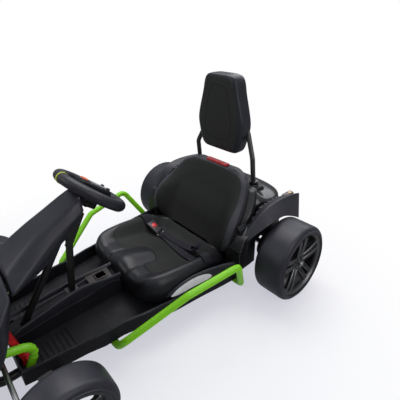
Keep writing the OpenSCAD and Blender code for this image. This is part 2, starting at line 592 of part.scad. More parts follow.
// Rear fenders. Columns: y and z as shares of the tyre's radius from the axle, with x in millimetres:
// y, inner x, inner z, ridge x, ridge z, outer x, outer z
fender_shares = [[-1.13, 238, 0.51, 244, 0.585, 252, 0.496], [-0.98, 238, 0.674, 250, 0.807, 266, 0.644],
    [-0.8, 238, 0.881, 256, 1.044, 284, 0.822], [-0.57, 238, 1.104, 264, 1.267, 300, 0.97],
    [-0.3, 238, 1.267, 268, 1.37, 304, 1.052], [0, 239, 1.326, 270, 1.4, 305, 1.067],
    [0.33, 240, 1.333, 271, 1.385, 304, 1.067], [0.62, 243, 1.281, 272, 1.333, 298, 1],
    [0.87, 247, 1.178, 274, 1.259, 290, 0.837], [0.99, 250, 1.089, 275, 1.193, 284, 0.704]];
fender_rows = [for (r = fender_shares) [rear_y + r[0] * rear_r, r[1], rear_r * (1 + r[2]), r[3], rear_r * (1 + r[4]),
    r[5], rear_r * (1 + r[6])]];
function fender_ring(r, t) = [[r[1], r[0], r[2] - t], [r[3] - t * 0.3, r[0], r[4] - t * 1.2], [r[5] - t, r[0], r[6]],
    [r[5], r[0], r[6]], [r[3], r[0], r[4]], [r[1], r[0], r[2]]];
module fender() {
    loft([for (r = fender_rows) fender_ring(r, shell_t + 1)]);
    // Bracket against the rear body
    translate([232 + seat_gap, rear_y - 50, body_top - 26]) cube([8, 90, 71]);
}
module rear_fender_left() color(satin) fender();
module rear_fender_right() color(satin) mirror([1, 0, 0]) fender();

module tail_lamps() color("#5c2020") both_sides()
    translate([222, 500, 286]) cube([22.7, 50, 14]);

bumper_r = 10;
module rear_bumper() color(steel) {
    y0 = rear_y + 92 + seat_gap;
    back_y = 595 - bumper_r;
    bent_tube([[rail_x, y0, rail_z], [rail_x, back_y - 5, rail_z], [rail_x + 50, back_y, rail_z + 70],
        [-rail_x - 50, back_y, rail_z + 70], [-rail_x, back_y - 5, rail_z], [-rail_x, y0, rail_z]], bumper_r, 22);
}

module rear_axle() color("silver")
    rod([-rear_face_x + 8, rear_y, rear_r], [rear_face_x - 8, rear_y, rear_r], rear_axle_d / 2);

gearbox_out = rear_face_x - rear_tyre_w - 8;
module gearboxes() color("#2a2a2e") both_sides() difference() {
    union() {
        translate([gearbox_out - 46, rear_y, rear_r]) rotate([0, 90, 0]) cylinder(r = 44, h = 46, $fn = fine);
        translate([gearbox_out - 46, rear_y, rear_r - 38]) cube([30, 92, 76]);
        translate([gearbox_out - 120, rear_y + 66, rear_r]) rotate([0, 90, 0]) cylinder(r = 22, h = 90, $fn = fine);
    }
    rod([0, rear_y, rear_r], [rear_face_x, rear_y, rear_r], rear_axle_d / 2 + run_gap);
}

// Headrest posts with their clamps
post_path = [[post_x, 430, clamp_z + 8], [post_x, 414, 442], [post_x - 34, 426, 520], [post_x - 52, 428, 560]];
module headrest_posts() color(steel) both_sides() {
    bent_tube(post_path, post_d / 2, 30, [0, 1, 0]);
    translate([post_x, 430, clamp_z]) cylinder(r1 = clamp_r, r2 = clamp_r - 4, h = 46, $fn = fine);
}
// Headrest. Columns: z, half width, front y
headrest_rows = [[730, 44, 388], [724, 62, 381], [708, 75, 378], [660, 86, 377], [600, 103, 377], [556, 112, 378],
    [520, 109, 379], [480, 98, 381], [458, 89, 384], [448, 76, 390]];
function pad_ring(r) = let (mid = 380 + headrest_t / 2, d = min(headrest_t / 2, 2 * (mid - r[2])),
    c = min(14, r[1] * 0.4)) [for (q = [[-1, -1], [1, -1], [1, 1], [-1, 1]], k = [0:3])
    let (a = (q.x < 0 && q.y < 0 ? 180 : q.x > 0 && q.y < 0 ? 270 : q.x > 0 ? 0 : 90) + 30 * k)
    [q.x * (r[1] - c) + c * cos(a), mid + q.y * (mid - r[2] - c) + c * sin(a), r[0]]];
module headrest_pad() color(plastic) difference() {
    loft([for (r = headrest_rows) pad_ring(r)]);
    both_sides() bent_tube([for (i = [0:3]) post_path[i] + [0, 0, i == 3 ? seat_gap : 0]],
        post_d / 2 + seat_gap, 30, [0, 1, 0]);
}

// Wheels. The axle runs along x and the outer face looks to +x.
function tyre_profile(outer, inner, w) = concat([[inner, 7], [inner + 7, 1]],
    arc([outer - shoulder_r, shoulder_r], shoulder_r, 270, 360, 5), arc([outer - shoulder_r, w - shoulder_r], shoulder_r, 0, 90, 5),
    [[inner + 7, w - 1], [inner, w - 7]]);
module tyre(outer, inner, w) rotate([0, 90, 0]) rotate_extrude($fn = 96) polygon(tyre_profile(outer, inner, w));
// Distance from a twin spoke's middle line to the middle of each of its bars, at radius r
function spoke_offset(r) = 6 + 0.225 * (r - 20);
// Window between two arcs' ends, r_out away and r_in away from the axis
module rim_window(r_out, half_out, r_in, half_in) polygon(concat(arc([0, 0], r_out, -half_out, half_out, 6),
    [r_in * [cos(half_in), sin(half_in)], r_in * [cos(half_in), -sin(half_in)]]));
module rim(rim_r, w, bore_r, hub_r) rotate([0, 90, 0]) difference() {
    r_out = rim_r - 12;
    r_in = hub_r + 8;
    pitch = 360 / spoke_count;
    union() {
        difference() {
            translate([0, 0, 8]) cylinder(r = rim_r, h = w - 13, $fn = 96);
            translate([0, 0, 7]) cylinder(r = rim_r - 5, h = w - 11, $fn = 96);
        }
        translate([0, 0, w - 24]) cylinder(r = rim_r - 4, h = 14, $fn = 96);
        translate([0, 0, 14]) cylinder(r = hub_r, h = w - 22, $fn = fine);
    }
    translate([0, 0, -1]) cylinder(r = bore_r, h = w + 2, $fn = fine);
    // Windows between the twin spokes, and inside each twin spoke
    translate([0, 0, w - 25]) linear_extrude(16) for (i = [0:spoke_count - 1]) {
        rotate((i + 0.5) * pitch) rim_window(r_out, pitch / 2 - asin((spoke_offset(r_out) + spoke_w / 2) / r_out),
            r_in, pitch / 2 - asin((spoke_offset(r_in) + spoke_w / 2) / r_in));
        rotate(i * pitch) rim_window(r_out, asin((spoke_offset(r_out) - spoke_w / 2) / r_out),
            r_in + 8, asin((spoke_offset(r_in + 8) - spoke_w / 2) / (r_in + 8)));
    }
}
module place_wheel(side, face_x, w, y, z) translate([side * face_x, y, z]) mirror([side < 0 ? 1 : 0, 0, 0])
    translate([-w, 0, 0]) children();
module rear_tyre_left() color("#1e1e22") place_wheel(1, rear_face_x, rear_tyre_w, rear_y, rear_r)
    tyre(rear_r, rear_rim_d / 2 + seat_gap, rear_tyre_w);
module rear_tyre_right() color("#1e1e22") place_wheel(-1, rear_face_x, rear_tyre_w, rear_y, rear_r)
    tyre(rear_r, rear_rim_d / 2 + seat_gap, rear_tyre_w);
module rear_rim_left() color("#3a3a3e") place_wheel(1, rear_face_x, rear_tyre_w, rear_y, rear_r)
    rim(rear_rim_d / 2, rear_tyre_w, rear_axle_d / 2 + run_gap, 27);
module rear_rim_right() color("#3a3a3e") place_wheel(-1, rear_face_x, rear_tyre_w, rear_y, rear_r)
    rim(rear_rim_d / 2, rear_tyre_w, rear_axle_d / 2 + run_gap, 27);
module front_tyre_left() color("#1e1e22") place_wheel(1, front_face_x, front_tyre_w, front_y, front_r)
    tyre(front_r, front_rim_d / 2 + seat_gap, front_tyre_w);
module front_tyre_right() color("#1e1e22") place_wheel(-1, front_face_x, front_tyre_w, front_y, front_r)
    tyre(front_r, front_rim_d / 2 + seat_gap, front_tyre_w);
module front_rim_left() color("#3a3a3e") place_wheel(1, front_face_x, front_tyre_w, front_y, front_r)
    rim(front_rim_d / 2, front_tyre_w, stub_d / 2 + run_gap, 23);
module front_rim_right() color("#3a3a3e") place_wheel(-1, front_face_x, front_tyre_w, front_y, front_r)
    rim(front_rim_d / 2, front_tyre_w, stub_d / 2 + run_gap, 23);

chassis_frame();
floor_pan();
centre_spine();
charge_socket();
knuckle_left();
knuckle_right();
tie_rod();
steering_shaft_lower();
steering_shaft_upper();
steering_wheel();
steering_hub();
wheel_buttons();
column_support();
column_cover();
nose_cone();
toe_bar();
headlamps();
accelerator_pedal();
brake_pedal();
seat_rails();
seat_base();
seat_back();
seat_belt();
belt_buckle();
side_bar_left();
side_bar_right();
side_panels();
lens_plates();
battery();
rear_body();
rear_hood();
hood_tab();
rear_fender_left();
rear_fender_right();
tail_lamps();
rear_bumper();
rear_axle();
gearboxes();
headrest_posts();
headrest_pad();
rear_tyre_left();
rear_rim_left();
rear_tyre_right();
rear_rim_right();
front_tyre_left();
front_rim_left();
front_tyre_right();
front_rim_right();
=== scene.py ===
# %% [markdown]
# Electric drift kart for children, dressed for rendering.
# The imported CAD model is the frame: its pieces keep their places and shapes, and this
# script gives them finishes and adds the moulded and woven detail. Everything is
# in metres, forward is -Y, the driver's left is +X and the floor is z = 0.

import math

import bpy
from mathutils import Matrix, Vector


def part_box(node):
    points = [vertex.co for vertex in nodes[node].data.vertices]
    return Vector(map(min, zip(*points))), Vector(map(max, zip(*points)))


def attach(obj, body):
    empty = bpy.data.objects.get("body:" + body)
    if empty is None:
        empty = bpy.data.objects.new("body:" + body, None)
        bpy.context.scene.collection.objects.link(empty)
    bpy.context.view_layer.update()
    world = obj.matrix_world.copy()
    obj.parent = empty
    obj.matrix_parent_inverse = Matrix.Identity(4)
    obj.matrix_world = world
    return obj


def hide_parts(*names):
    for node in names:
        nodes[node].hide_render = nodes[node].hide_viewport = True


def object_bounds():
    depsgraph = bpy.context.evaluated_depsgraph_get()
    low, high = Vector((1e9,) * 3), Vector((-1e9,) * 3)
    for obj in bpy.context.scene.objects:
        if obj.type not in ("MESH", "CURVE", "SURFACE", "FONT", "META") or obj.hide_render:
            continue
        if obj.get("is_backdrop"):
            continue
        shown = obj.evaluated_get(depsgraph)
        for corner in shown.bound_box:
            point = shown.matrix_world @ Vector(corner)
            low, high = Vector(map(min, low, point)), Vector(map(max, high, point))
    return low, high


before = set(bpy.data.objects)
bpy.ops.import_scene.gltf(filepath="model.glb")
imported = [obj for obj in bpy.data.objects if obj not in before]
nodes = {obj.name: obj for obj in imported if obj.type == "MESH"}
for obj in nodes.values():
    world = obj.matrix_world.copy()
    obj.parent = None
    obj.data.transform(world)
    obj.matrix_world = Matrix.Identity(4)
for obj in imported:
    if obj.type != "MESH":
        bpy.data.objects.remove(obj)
cad_low, cad_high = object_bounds()
print("frame:", len(nodes), "nodes", [round(v, 3) for v in cad_low], [round(v, 3) for v in cad_high])

# %% [markdown]
# The camera stands ahead of the kart on the driver's left and looks down a little. Its
# place was solved from the rear wheel's two rim ellipses, so the render can be laid over
# the photograph. A small downward shift frames the kart as the photographer's crop does.

# %% Camera
AZIMUTH = math.radians(47.556)
ELEVATION = math.radians(22.249)


def toward_camera():
    return Vector((math.sin(AZIMUTH) * math.cos(ELEVATION), -math.cos(AZIMUTH) * math.cos(ELEVATION),
                   math.sin(ELEVATION)))


bpy.ops.object.camera_add(location=(0.85784, -0.49377, 0.89805))
camera = bpy.context.object
camera.rotation_euler = (-toward_camera()).to_track_quat("-Z", "Y").to_euler()
camera.data.lens = 30.85
camera.data.sensor_width = 36
camera.data.shift_y = -0.0959
camera.data.clip_start = 0.02
bpy.context.scene.camera = camera
bpy.context.scene.view_settings.view_transform = "Standard"

# %% [markdown]
# Nodes are wired in code, so three short helpers keep the material cells readable: one
# adds a node with its values, one joins two sockets, and one opens a new node group with
# named inputs and outputs.

# %% Node helpers


def add(tree, kind, place=(0, 0), **values):
    node = tree.nodes.new(kind)
    node.location = place
    for name, value in values.items():
        if name in node.inputs:
            node.inputs[name].default_value = value
        else:
            setattr(node, name, value)
    return node


def join(tree, start, end):
    tree.links.new(start, end)


def open_group(name, inputs, outputs):
    tree = bpy.data.node_groups.new(name, "ShaderNodeTree")
    for title, kind, value in inputs:
        socket = tree.interface.new_socket(title, in_out="INPUT", socket_type=kind)
        if value is not None:
            socket.default_value = value
    for title, kind in outputs:
        tree.interface.new_socket(title, in_out="OUTPUT", socket_type=kind)
    return tree, tree.nodes.new("NodeGroupInput"), tree.nodes.new("NodeGroupOutput")


def math_node(tree, operation, a, b=0.0, clamp=False):
    node = tree.nodes.new("ShaderNodeMath")
    node.operation = operation
    node.use_clamp = clamp
    for socket, value in zip(node.inputs, (a, b)):
        if isinstance(value, bpy.types.NodeSocket):
            tree.links.new(value, socket)
        else:
            socket.default_value = value
    return node.outputs[0]


# %% [markdown]
# Moulded plastic copies the grain that is etched into its mould: small rounded cells a
# millimetre or so wide. A cell texture for the pebbles and a noise for their uneven depth
# give the height, and a slow noise gives the faint change of tone over a large moulding.

# %% Effect: moulded grain
grain_tree, g_in, g_out = open_group(
    "moulded_grain",
    [("Place", "NodeSocketVector", None), ("Cells per metre", "NodeSocketFloat", 900.0)],
    [("Height", "NodeSocketFloat"), ("Tone", "NodeSocketFloat")])
cells = add(grain_tree, "ShaderNodeTexVoronoi", feature="SMOOTH_F1")
cells.inputs["Smoothness"].default_value = 0.35
uneven = add(grain_tree, "ShaderNodeTexNoise", Detail=3.0)
slow = add(grain_tree, "ShaderNodeTexNoise", Scale=11.0, Detail=4.0, Roughness=0.6)
join(grain_tree, g_in.outputs["Place"], cells.inputs["Vector"])
join(grain_tree, g_in.outputs["Place"], uneven.inputs["Vector"])
join(grain_tree, g_in.outputs["Place"], slow.inputs["Vector"])
join(grain_tree, g_in.outputs["Cells per metre"], cells.inputs["Scale"])
join(grain_tree, math_node(grain_tree, "MULTIPLY", g_in.outputs["Cells per metre"], 0.45), uneven.inputs["Scale"])
pebbles = math_node(grain_tree, "SUBTRACT", 1.0, cells.outputs["Distance"])
height = math_node(grain_tree, "ADD", math_node(grain_tree, "MULTIPLY", pebbles, 0.7),
                   math_node(grain_tree, "MULTIPLY", uneven.outputs["Fac"], 0.5))
join(grain_tree, height, g_out.inputs["Height"])
join(grain_tree, slow.outputs["Fac"], g_out.inputs["Tone"])

# %% [markdown]
# Edges that hands and shoes rub turn smoother and a little paler. A Bevel node rounds the
# normal near an edge, so the angle between that rounded normal and the true one marks the
# edges, and a noise breaks the mark up.

# %% Effect: rubbed edges
edge_tree, e_in, e_out = open_group(
    "rubbed_edges",
    [("Place", "NodeSocketVector", None), ("Width", "NodeSocketFloat", 0.0016), ("Amount", "NodeSocketFloat", 1.0)],
    [("Edge", "NodeSocketFloat")])
round_off = add(edge_tree, "ShaderNodeBevel", samples=4)
join(edge_tree, e_in.outputs["Width"], round_off.inputs["Radius"])
true_normal = add(edge_tree, "ShaderNodeNewGeometry")
angle = add(edge_tree, "ShaderNodeVectorMath", operation="DOT_PRODUCT")
join(edge_tree, round_off.outputs["Normal"], angle.inputs[0])
join(edge_tree, true_normal.outputs["Normal"], angle.inputs[1])
turned = math_node(edge_tree, "SUBTRACT", 1.0, angle.outputs["Value"], clamp=True)
scuffs = add(edge_tree, "ShaderNodeTexNoise", Scale=70.0, Detail=5.0, Roughness=0.65)
join(edge_tree, e_in.outputs["Place"], scuffs.inputs["Vector"])
broken = math_node(edge_tree, "MULTIPLY", math_node(edge_tree, "MULTIPLY", turned, 6.0, clamp=True),
                   math_node(edge_tree, "MULTIPLY", scuffs.outputs["Fac"], 1.5, clamp=True))
join(edge_tree, math_node(edge_tree, "MULTIPLY", broken, e_in.outputs["Amount"], clamp=True), e_out.inputs["Edge"])

# %% [markdown]
# A thin film of dust settles on what faces up, in soft patches, and the same mask paints a sheen of the overhead
# light onto the tops. It makes dark plastic a touch greyer and duller there, partly as real dust and partly as
# painted sheen, so that a clean studio product isn't one flat black.

# %% Effect: settled dust and painted top sheen
dust_sheen_tree, d_in, d_out = open_group(
    "dust_and_painted_sheen",
    [("Place", "NodeSocketVector", None), ("Amount", "NodeSocketFloat", 0.5)],
    [("Dust and sheen", "NodeSocketFloat")])
facing = add(dust_sheen_tree, "ShaderNodeSeparateXYZ")
up_normal = add(dust_sheen_tree, "ShaderNodeNewGeometry")
join(dust_sheen_tree, up_normal.outputs["Normal"], facing.inputs[0])
patches = add(dust_sheen_tree, "ShaderNodeTexNoise", Scale=16.0, Detail=6.0, Roughness=0.7)
join(dust_sheen_tree, d_in.outputs["Place"], patches.inputs["Vector"])
# Faces that look up get the mark: partly settled dust, partly painted light from above.
up = math_node(dust_sheen_tree, "MULTIPLY", math_node(dust_sheen_tree, "SUBTRACT", facing.outputs["Z"], 0.35), 1.5, clamp=True)
dust_or_sheen = math_node(dust_sheen_tree, "MULTIPLY", up, math_node(dust_sheen_tree, "SUBTRACT", patches.outputs["Fac"], 0.25,
    clamp=True))
join(dust_sheen_tree, math_node(dust_sheen_tree, "MULTIPLY", dust_or_sheen, d_in.outputs["Amount"], clamp=True), d_out.inputs["Dust and sheen"])

# %% [markdown]
# One recipe then serves every hard finish on the kart: a base colour that drifts between two tones, rubbed edges,
# dust with a painted sheen on what faces up, and a bump of grain. Each finish has its own values, so satin panels,
# matt inlays, powder-coated steel and rubber all read differently.

# %% Recipe for a hard finish


def mix_colour(tree, factor, low, high):
    node = tree.nodes.new("ShaderNodeMix")
    node.data_type = "RGBA"
    for socket, value in ((node.inputs[0], factor), (node.inputs[6], low), (node.inputs[7], high)):
        if isinstance(value, bpy.types.NodeSocket):
            tree.links.new(value, socket)
        elif hasattr(value, "__len__"):
            socket.default_value = (*value, 1.0)
        else:
            socket.default_value = value
    return node.outputs[2]


def finish_material(name, dark, light, roughness, cells_per_metre=900.0, grain_depth=0.00012, edge=0.35,
                    edge_colour=(0.12, 0.12, 0.13), dust_and_sheen=0.25, specular=0.35, metallic=0.0, coat=0.0,
                    roughness_drift=0.12):
    material = bpy.data.materials.new(name)
    material.use_nodes = True
    tree = material.node_tree
    shader = tree.nodes["Principled BSDF"]
    place = add(tree, "ShaderNodeTexCoord", (-1200, 0)).outputs["Object"]
    grain = add(tree, "ShaderNodeGroup", (-900, 200), node_tree=grain_tree)
    grain.inputs["Cells per metre"].default_value = cells_per_metre
    rubbed = add(tree, "ShaderNodeGroup", (-900, 0), node_tree=edge_tree)
    rubbed.inputs["Amount"].default_value = edge
    dust_sheen_mark = add(tree, "ShaderNodeGroup", (-900, -200), node_tree=dust_sheen_tree)
    dust_sheen_mark.inputs["Amount"].default_value = dust_and_sheen
    for node in (grain, rubbed, dust_sheen_mark):
        join(tree, place, node.inputs["Place"])
    tone = math_node(tree, "MULTIPLY", math_node(tree, "SUBTRACT", grain.outputs["Tone"], 0.3, clamp=True), 2.4,
        clamp=True)
    colour = mix_colour(tree, tone, dark, light)
    colour = mix_colour(tree, rubbed.outputs["Edge"], colour, edge_colour)
    # Greyer where the surface faces up: settled dust together with a painted sheen of the top light.
    colour = mix_colour(tree, dust_sheen_mark.outputs["Dust and sheen"], colour, (0.2, 0.2, 0.21))
    join(tree, colour, shader.inputs["Base Color"])
    duller = math_node(tree, "MULTIPLY", math_node(tree, "SUBTRACT", grain.outputs["Tone"], 0.5), roughness_drift * 2)
    polished = math_node(tree, "MULTIPLY", rubbed.outputs["Edge"], -0.12)
    total = math_node(tree, "ADD", math_node(tree, "ADD", duller, roughness), polished, clamp=True)
    join(tree, math_node(tree, "ADD", total, math_node(tree, "MULTIPLY", dust_sheen_mark.outputs["Dust and sheen"], 0.2), clamp=True),
         shader.inputs["Roughness"])
    bump = add(tree, "ShaderNodeBump", (-300, -300), Strength=1.0, Distance=grain_depth)
    join(tree, grain.outputs["Height"], bump.inputs["Height"])
    join(tree, bump.outputs["Normal"], shader.inputs["Normal"])
    shader.inputs["Metallic"].default_value = metallic
    shader.inputs["Specular IOR Level"].default_value = specular
    shader.inputs["Coat Weight"].default_value = coat
    shader.inputs["Coat Roughness"].default_value = 0.12
    return material


# %% [markdown]
# The kart's finishes. Nearly everything is black, and what tells the pieces apart is how
# they shine: the panels are a blue-grey satin, the inlays a warm matt black, the hood and
# the bare tubes glossier. The side bars carry the one strong colour.

# %% The kart's finishes
finish_rows = {
    "satin_panel": ((0.014, 0.014, 0.02), (0.022, 0.022, 0.03), 0.36, dict(specular=0.28, grain_depth=0.00006,
        dust_and_sheen=0.12)),
    "cover_satin": ((0.017, 0.017, 0.025), (0.025, 0.025, 0.035), 0.36, dict(specular=0.34, grain_depth=0.00005,
        dust_and_sheen=0.1, edge_colour=(0.1, 0.1, 0.12))),
    "fender_satin": ((0.02, 0.02, 0.027), (0.03, 0.03, 0.038), 0.4, dict(specular=0.3, grain_depth=0.00006,
        edge_colour=(0.1, 0.1, 0.12))),
    "grip_satin": ((0.014, 0.014, 0.02), (0.021, 0.021, 0.028), 0.38, dict(specular=0.32, cells_per_metre=1200.0,
        grain_depth=0.00008, edge=0.1)),
    "yellow_band": ((0.55, 0.62, 0.04), (0.62, 0.7, 0.06), 0.4, dict(specular=0.4, edge=0.0)),
    "silver_paint": ((0.42, 0.42, 0.44), (0.56, 0.56, 0.58), 0.36, dict(metallic=0.7, grain_depth=0.00003, edge=0.2,
        edge_colour=(0.7, 0.7, 0.72))),
    "chrome": ((0.6, 0.6, 0.62), (0.7, 0.7, 0.72), 0.16, dict(metallic=1.0, grain_depth=0.00001, edge=0.1,
        edge_colour=(0.85, 0.85, 0.86))),
    "buckle_black": ((0.01, 0.01, 0.012), (0.016, 0.016, 0.019), 0.36, dict(specular=0.4, grain_depth=0.00004,
        edge=0.3)),
    "brown_plate": ((0.022, 0.016, 0.015), (0.032, 0.024, 0.022), 0.42, dict(specular=0.3, grain_depth=0.00006,
        edge=0.3, edge_colour=(0.1, 0.08, 0.07))),
    "post_paint": ((0.03, 0.026, 0.026), (0.044, 0.039, 0.039), 0.28, dict(specular=0.5, grain_depth=0.00003,
        edge=0.1, edge_colour=(0.12, 0.11, 0.11))),
    "amber_lens": ((0.5, 0.28, 0.03), (0.58, 0.34, 0.05), 0.25, dict(specular=0.5, grain_depth=0.00002, coat=0.5,
        edge=0.0)),
    "machined": ((0.1, 0.1, 0.105), (0.17, 0.17, 0.175), 0.36, dict(metallic=0.8, cells_per_metre=1600.0,
        grain_depth=0.00002, edge=0.2, edge_colour=(0.6, 0.6, 0.6))),
    "matt_pan": ((0.009, 0.009, 0.012), (0.014, 0.014, 0.018), 0.5, dict(specular=0.16, cells_per_metre=700.0,
        dust_and_sheen=0.2)),
    "hood_gloss": ((0.009, 0.009, 0.009), (0.014, 0.013, 0.013), 0.16, dict(specular=0.5, grain_depth=0.00003,
        edge=0.2, dust_and_sheen=0.15)),
    "seat_satin": ((0.011, 0.011, 0.014), (0.017, 0.017, 0.021), 0.4, dict(specular=0.24, cells_per_metre=800.0,
        dust_and_sheen=0.1)),
    "headrest_matt": ((0.028, 0.029, 0.028), (0.038, 0.039, 0.038), 0.6, dict(specular=0.15, cells_per_metre=1100.0,
        grain_depth=0.00015, edge=0.1, dust_and_sheen=0.1)),
    "black_tube": ((0.008, 0.008, 0.009), (0.015, 0.014, 0.015), 0.34, dict(specular=0.36, cells_per_metre=1500.0,
        grain_depth=0.00004, edge_colour=(0.2, 0.18, 0.17))),
    "green_tube": ((0.19, 0.56, 0.008), (0.23, 0.64, 0.012), 0.33, dict(specular=0.34, cells_per_metre=1300.0,
        grain_depth=0.00003, edge=0.3, dust_and_sheen=0.05, edge_colour=(0.3, 0.66, 0.08))),
    "bare_steel": ((0.42, 0.42, 0.43), (0.55, 0.55, 0.56), 0.32, dict(metallic=1.0, cells_per_metre=1600.0,
        grain_depth=0.00002, edge_colour=(0.75, 0.75, 0.76))),
    "tyre_plastic": ((0.015, 0.015, 0.022), (0.024, 0.024, 0.034), 0.4, dict(specular=0.34, cells_per_metre=600.0,
        grain_depth=0.0001, dust_and_sheen=0.2)),
    "rim_black": ((0.008, 0.008, 0.009), (0.014, 0.014, 0.016), 0.3, dict(specular=0.34, grain_depth=0.00003,
        edge=0.9, edge_colour=(0.32, 0.32, 0.34))),
    "lamp_clear": ((0.62, 0.64, 0.66), (0.72, 0.74, 0.76), 0.15, dict(specular=0.5, grain_depth=0.00002, coat=0.6)),
    "tail_red": ((0.03, 0.006, 0.006), (0.05, 0.009, 0.008), 0.25, dict(specular=0.3, grain_depth=0.00002, coat=0.2,
        edge=0.1)),
    "pale_plate": ((0.62, 0.62, 0.66), (0.7, 0.7, 0.74), 0.3, dict(specular=0.5, grain_depth=0.00002, edge=0.0,
        dust_and_sheen=0.0)),
    "red_gloss": ((0.6, 0.012, 0.02), (0.7, 0.02, 0.03), 0.3, dict(specular=0.5, grain_depth=0.00003, edge=0.1,
        edge_colour=(0.8, 0.1, 0.1))),
    "orange_gloss": ((0.75, 0.12, 0.03), (0.85, 0.17, 0.05), 0.35, dict(specular=0.5, grain_depth=0.00003, edge=0.1,
        edge_colour=(0.9, 0.3, 0.15))),
    "webbing": ((0.012, 0.012, 0.018), (0.02, 0.02, 0.028), 0.75, dict(specular=0.1)),
    "battery_case": ((0.05, 0.05, 0.05), (0.07, 0.07, 0.07), 0.6, dict()),
}
finishes = {name: finish_material(name, *row[:-1], **row[-1]) for name, row in finish_rows.items()}
nodes_by_finish = {
    "black_tube": "chassis_frame steering_shaft_lower steering_shaft_upper column_support rear_bumper seat_rails",
    "post_paint": "headrest_posts",
    "green_tube": "side_bar_left side_bar_right toe_bar",
    "bare_steel": "tie_rod rear_axle knuckle_left knuckle_right",
    "matt_pan": "floor_pan centre_spine rear_body gearboxes accelerator_pedal steering_hub charge_socket",
    "satin_panel": "column_cover nose_cone side_panels rear_fender_left rear_fender_right steering_wheel",
    "hood_gloss": "rear_hood",
    "seat_satin": "seat_base seat_back belt_buckle",
    "headrest_matt": "headrest_pad",
    "webbing": "seat_belt",
    "red_gloss": "hood_tab brake_pedal",
    "orange_gloss": "wheel_buttons",
    "pale_plate": "lens_plates",
    "lamp_clear": "headlamps",
    "tail_red": "tail_lamps",
    "battery_case": "battery",
}
by_node = {name: finish for finish, names in nodes_by_finish.items() for name in names.split()}
for name, node in nodes.items():
    finish = by_node.get(name, "tyre_plastic" if "tyre" in name else "rim_black")
    node.data.materials.clear()
    node.data.materials.append(finishes[finish])

# %% [markdown]
# Most mouldings here are skins stretched over a row of cross-sections, as a boat's hull is.
# They could be sculpted or built from many small faces, but a grid whose rows are moved to
# the sections gives even faces and a clean flow. The sections come from short tables that
# are read smoothly, and a Subdivision modifier is applied for the last rounding.

# %% Shaping helpers
import numpy as np


def pick_nothing():
    bpy.ops.object.select_all(action="DESELECT")


def ease(t):
    t = min(max(t, 0.0), 1.0)
    return t * t * (3 - 2 * t)


def smooth_rows(rows):
    """Reads a table smoothly between its rows. The first column is the key and rises."""
    keys = [row[0] for row in rows]

    def slope(i, c):
        a, b = max(i - 1, 0), min(i + 1, len(rows) - 1)
        return (rows[b][c] - rows[a][c]) / (keys[b] - keys[a])

    def at(t):
        i = max(k for k in range(len(rows) - 1) if k == 0 or keys[k] <= t)
        step = keys[i + 1] - keys[i]
        u = min(max((t - keys[i]) / step, 0.0), 1.0)
        h = (2 * u ** 3 - 3 * u * u + 1, u ** 3 - 2 * u * u + u, 3 * u * u - 2 * u ** 3, u ** 3 - u * u)
        return [h[0] * rows[i][c] + h[1] * step * slope(i, c) + h[2] * rows[i + 1][c] + h[3] * step * slope(i + 1, c)
                for c in range(1, len(rows[0]))]
    return at


def spread(low, high, count):
    return [low + (high - low) * k / (count - 1) for k in range(count)]


def rounded_ring(corners, radii, steps=3):
    """Each corner of a ring is swapped for a short curve. One radius serves all, or each has its own."""
    ring = []
    for k, corner in enumerate(corners):
        radius = radii[k] if hasattr(radii, "__len__") else radii
        corner = Vector(corner)
        before, after = Vector(corners[k - 1]) - corner, Vector(corners[(k + 1) % len(corners)]) - corner
        a = corner + before * min(radius / max(before.length, 1e-6), 0.45)
        b = corner + after * min(radius / max(after.length, 1e-6), 0.45)
        for i in range(steps + 1):
            t = i / steps
            ring.append(a * (1 - t) ** 2 + corner * 2 * t * (1 - t) + b * t * t)
    return ring


def skin(name, rings, levels=0):
    """Millimetre rings in, a closed mesh in metres out."""
    across = len(rings[0])
    pick_nothing()
    bpy.ops.mesh.primitive_grid_add(x_subdivisions=across, y_subdivisions=len(rings) - 1)
    piece = bpy.context.object
    piece.name = piece.data.name = name
    for k, vertex in enumerate(piece.data.vertices):
        vertex.co = Vector(rings[k // (across + 1)][k % (across + 1) % across]) * 0.001
    bpy.ops.object.mode_set(mode="EDIT")
    bpy.ops.mesh.select_all(action="SELECT")
    bpy.ops.mesh.remove_doubles(threshold=0.00002)
    bpy.ops.mesh.fill_holes(sides=0)
    bpy.ops.mesh.normals_make_consistent(inside=False)
    bpy.ops.object.mode_set(mode="OBJECT")
    if levels:
        apply_modifier(piece, "SUBSURF", levels=levels, render_levels=levels)
    return piece


def apply_modifier(piece, kind, **values):
    pick_nothing()
    piece.select_set(True)
    bpy.context.view_layer.objects.active = piece
    modifier = piece.modifiers.new(kind.lower(), kind)
    for key, value in values.items():
        setattr(modifier, key, value)
    bpy.ops.object.modifier_apply(modifier=modifier.name)


def dress(piece, material, body="root", stands_for=(), angle=35):
    """Gives a finished piece its material, its smooth shading and its place on the frame."""
    pick_nothing()
    piece.select_set(True)
    bpy.context.view_layer.objects.active = piece
    if not piece.data.materials:
        piece.data.materials.append(material)
    bpy.ops.object.shade_smooth_by_angle(angle=math.radians(angle))
    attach(piece, body)
    if stands_for:
        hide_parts(*stands_for)
    low = [min(v.co[i] for v in piece.data.vertices) for i in range(3)]
    high = [max(v.co[i] for v in piece.data.vertices) for i in range(3)]
    print(piece.name, len(piece.data.polygons), "faces", [round(v, 3) for v in low], [round(v, 3) for v in high])
    return piece


def turned(name, profile, centre, along=(1, 0, 0), steps=64):
    """A closed profile of (distance along the axis, radius) is turned round it. Millimetres in."""
    along = Vector(along).normalized()
    side = along.orthogonal().normalized()
    other = along.cross(side)
    rings = []
    for k in range(steps + 1):
        a = 2 * math.pi * (k % steps) / steps
        out = side * math.cos(a) + other * math.sin(a)
        rings.append([Vector(centre) + along * d + out * r for d, r in profile])
    return skin(name, rings)


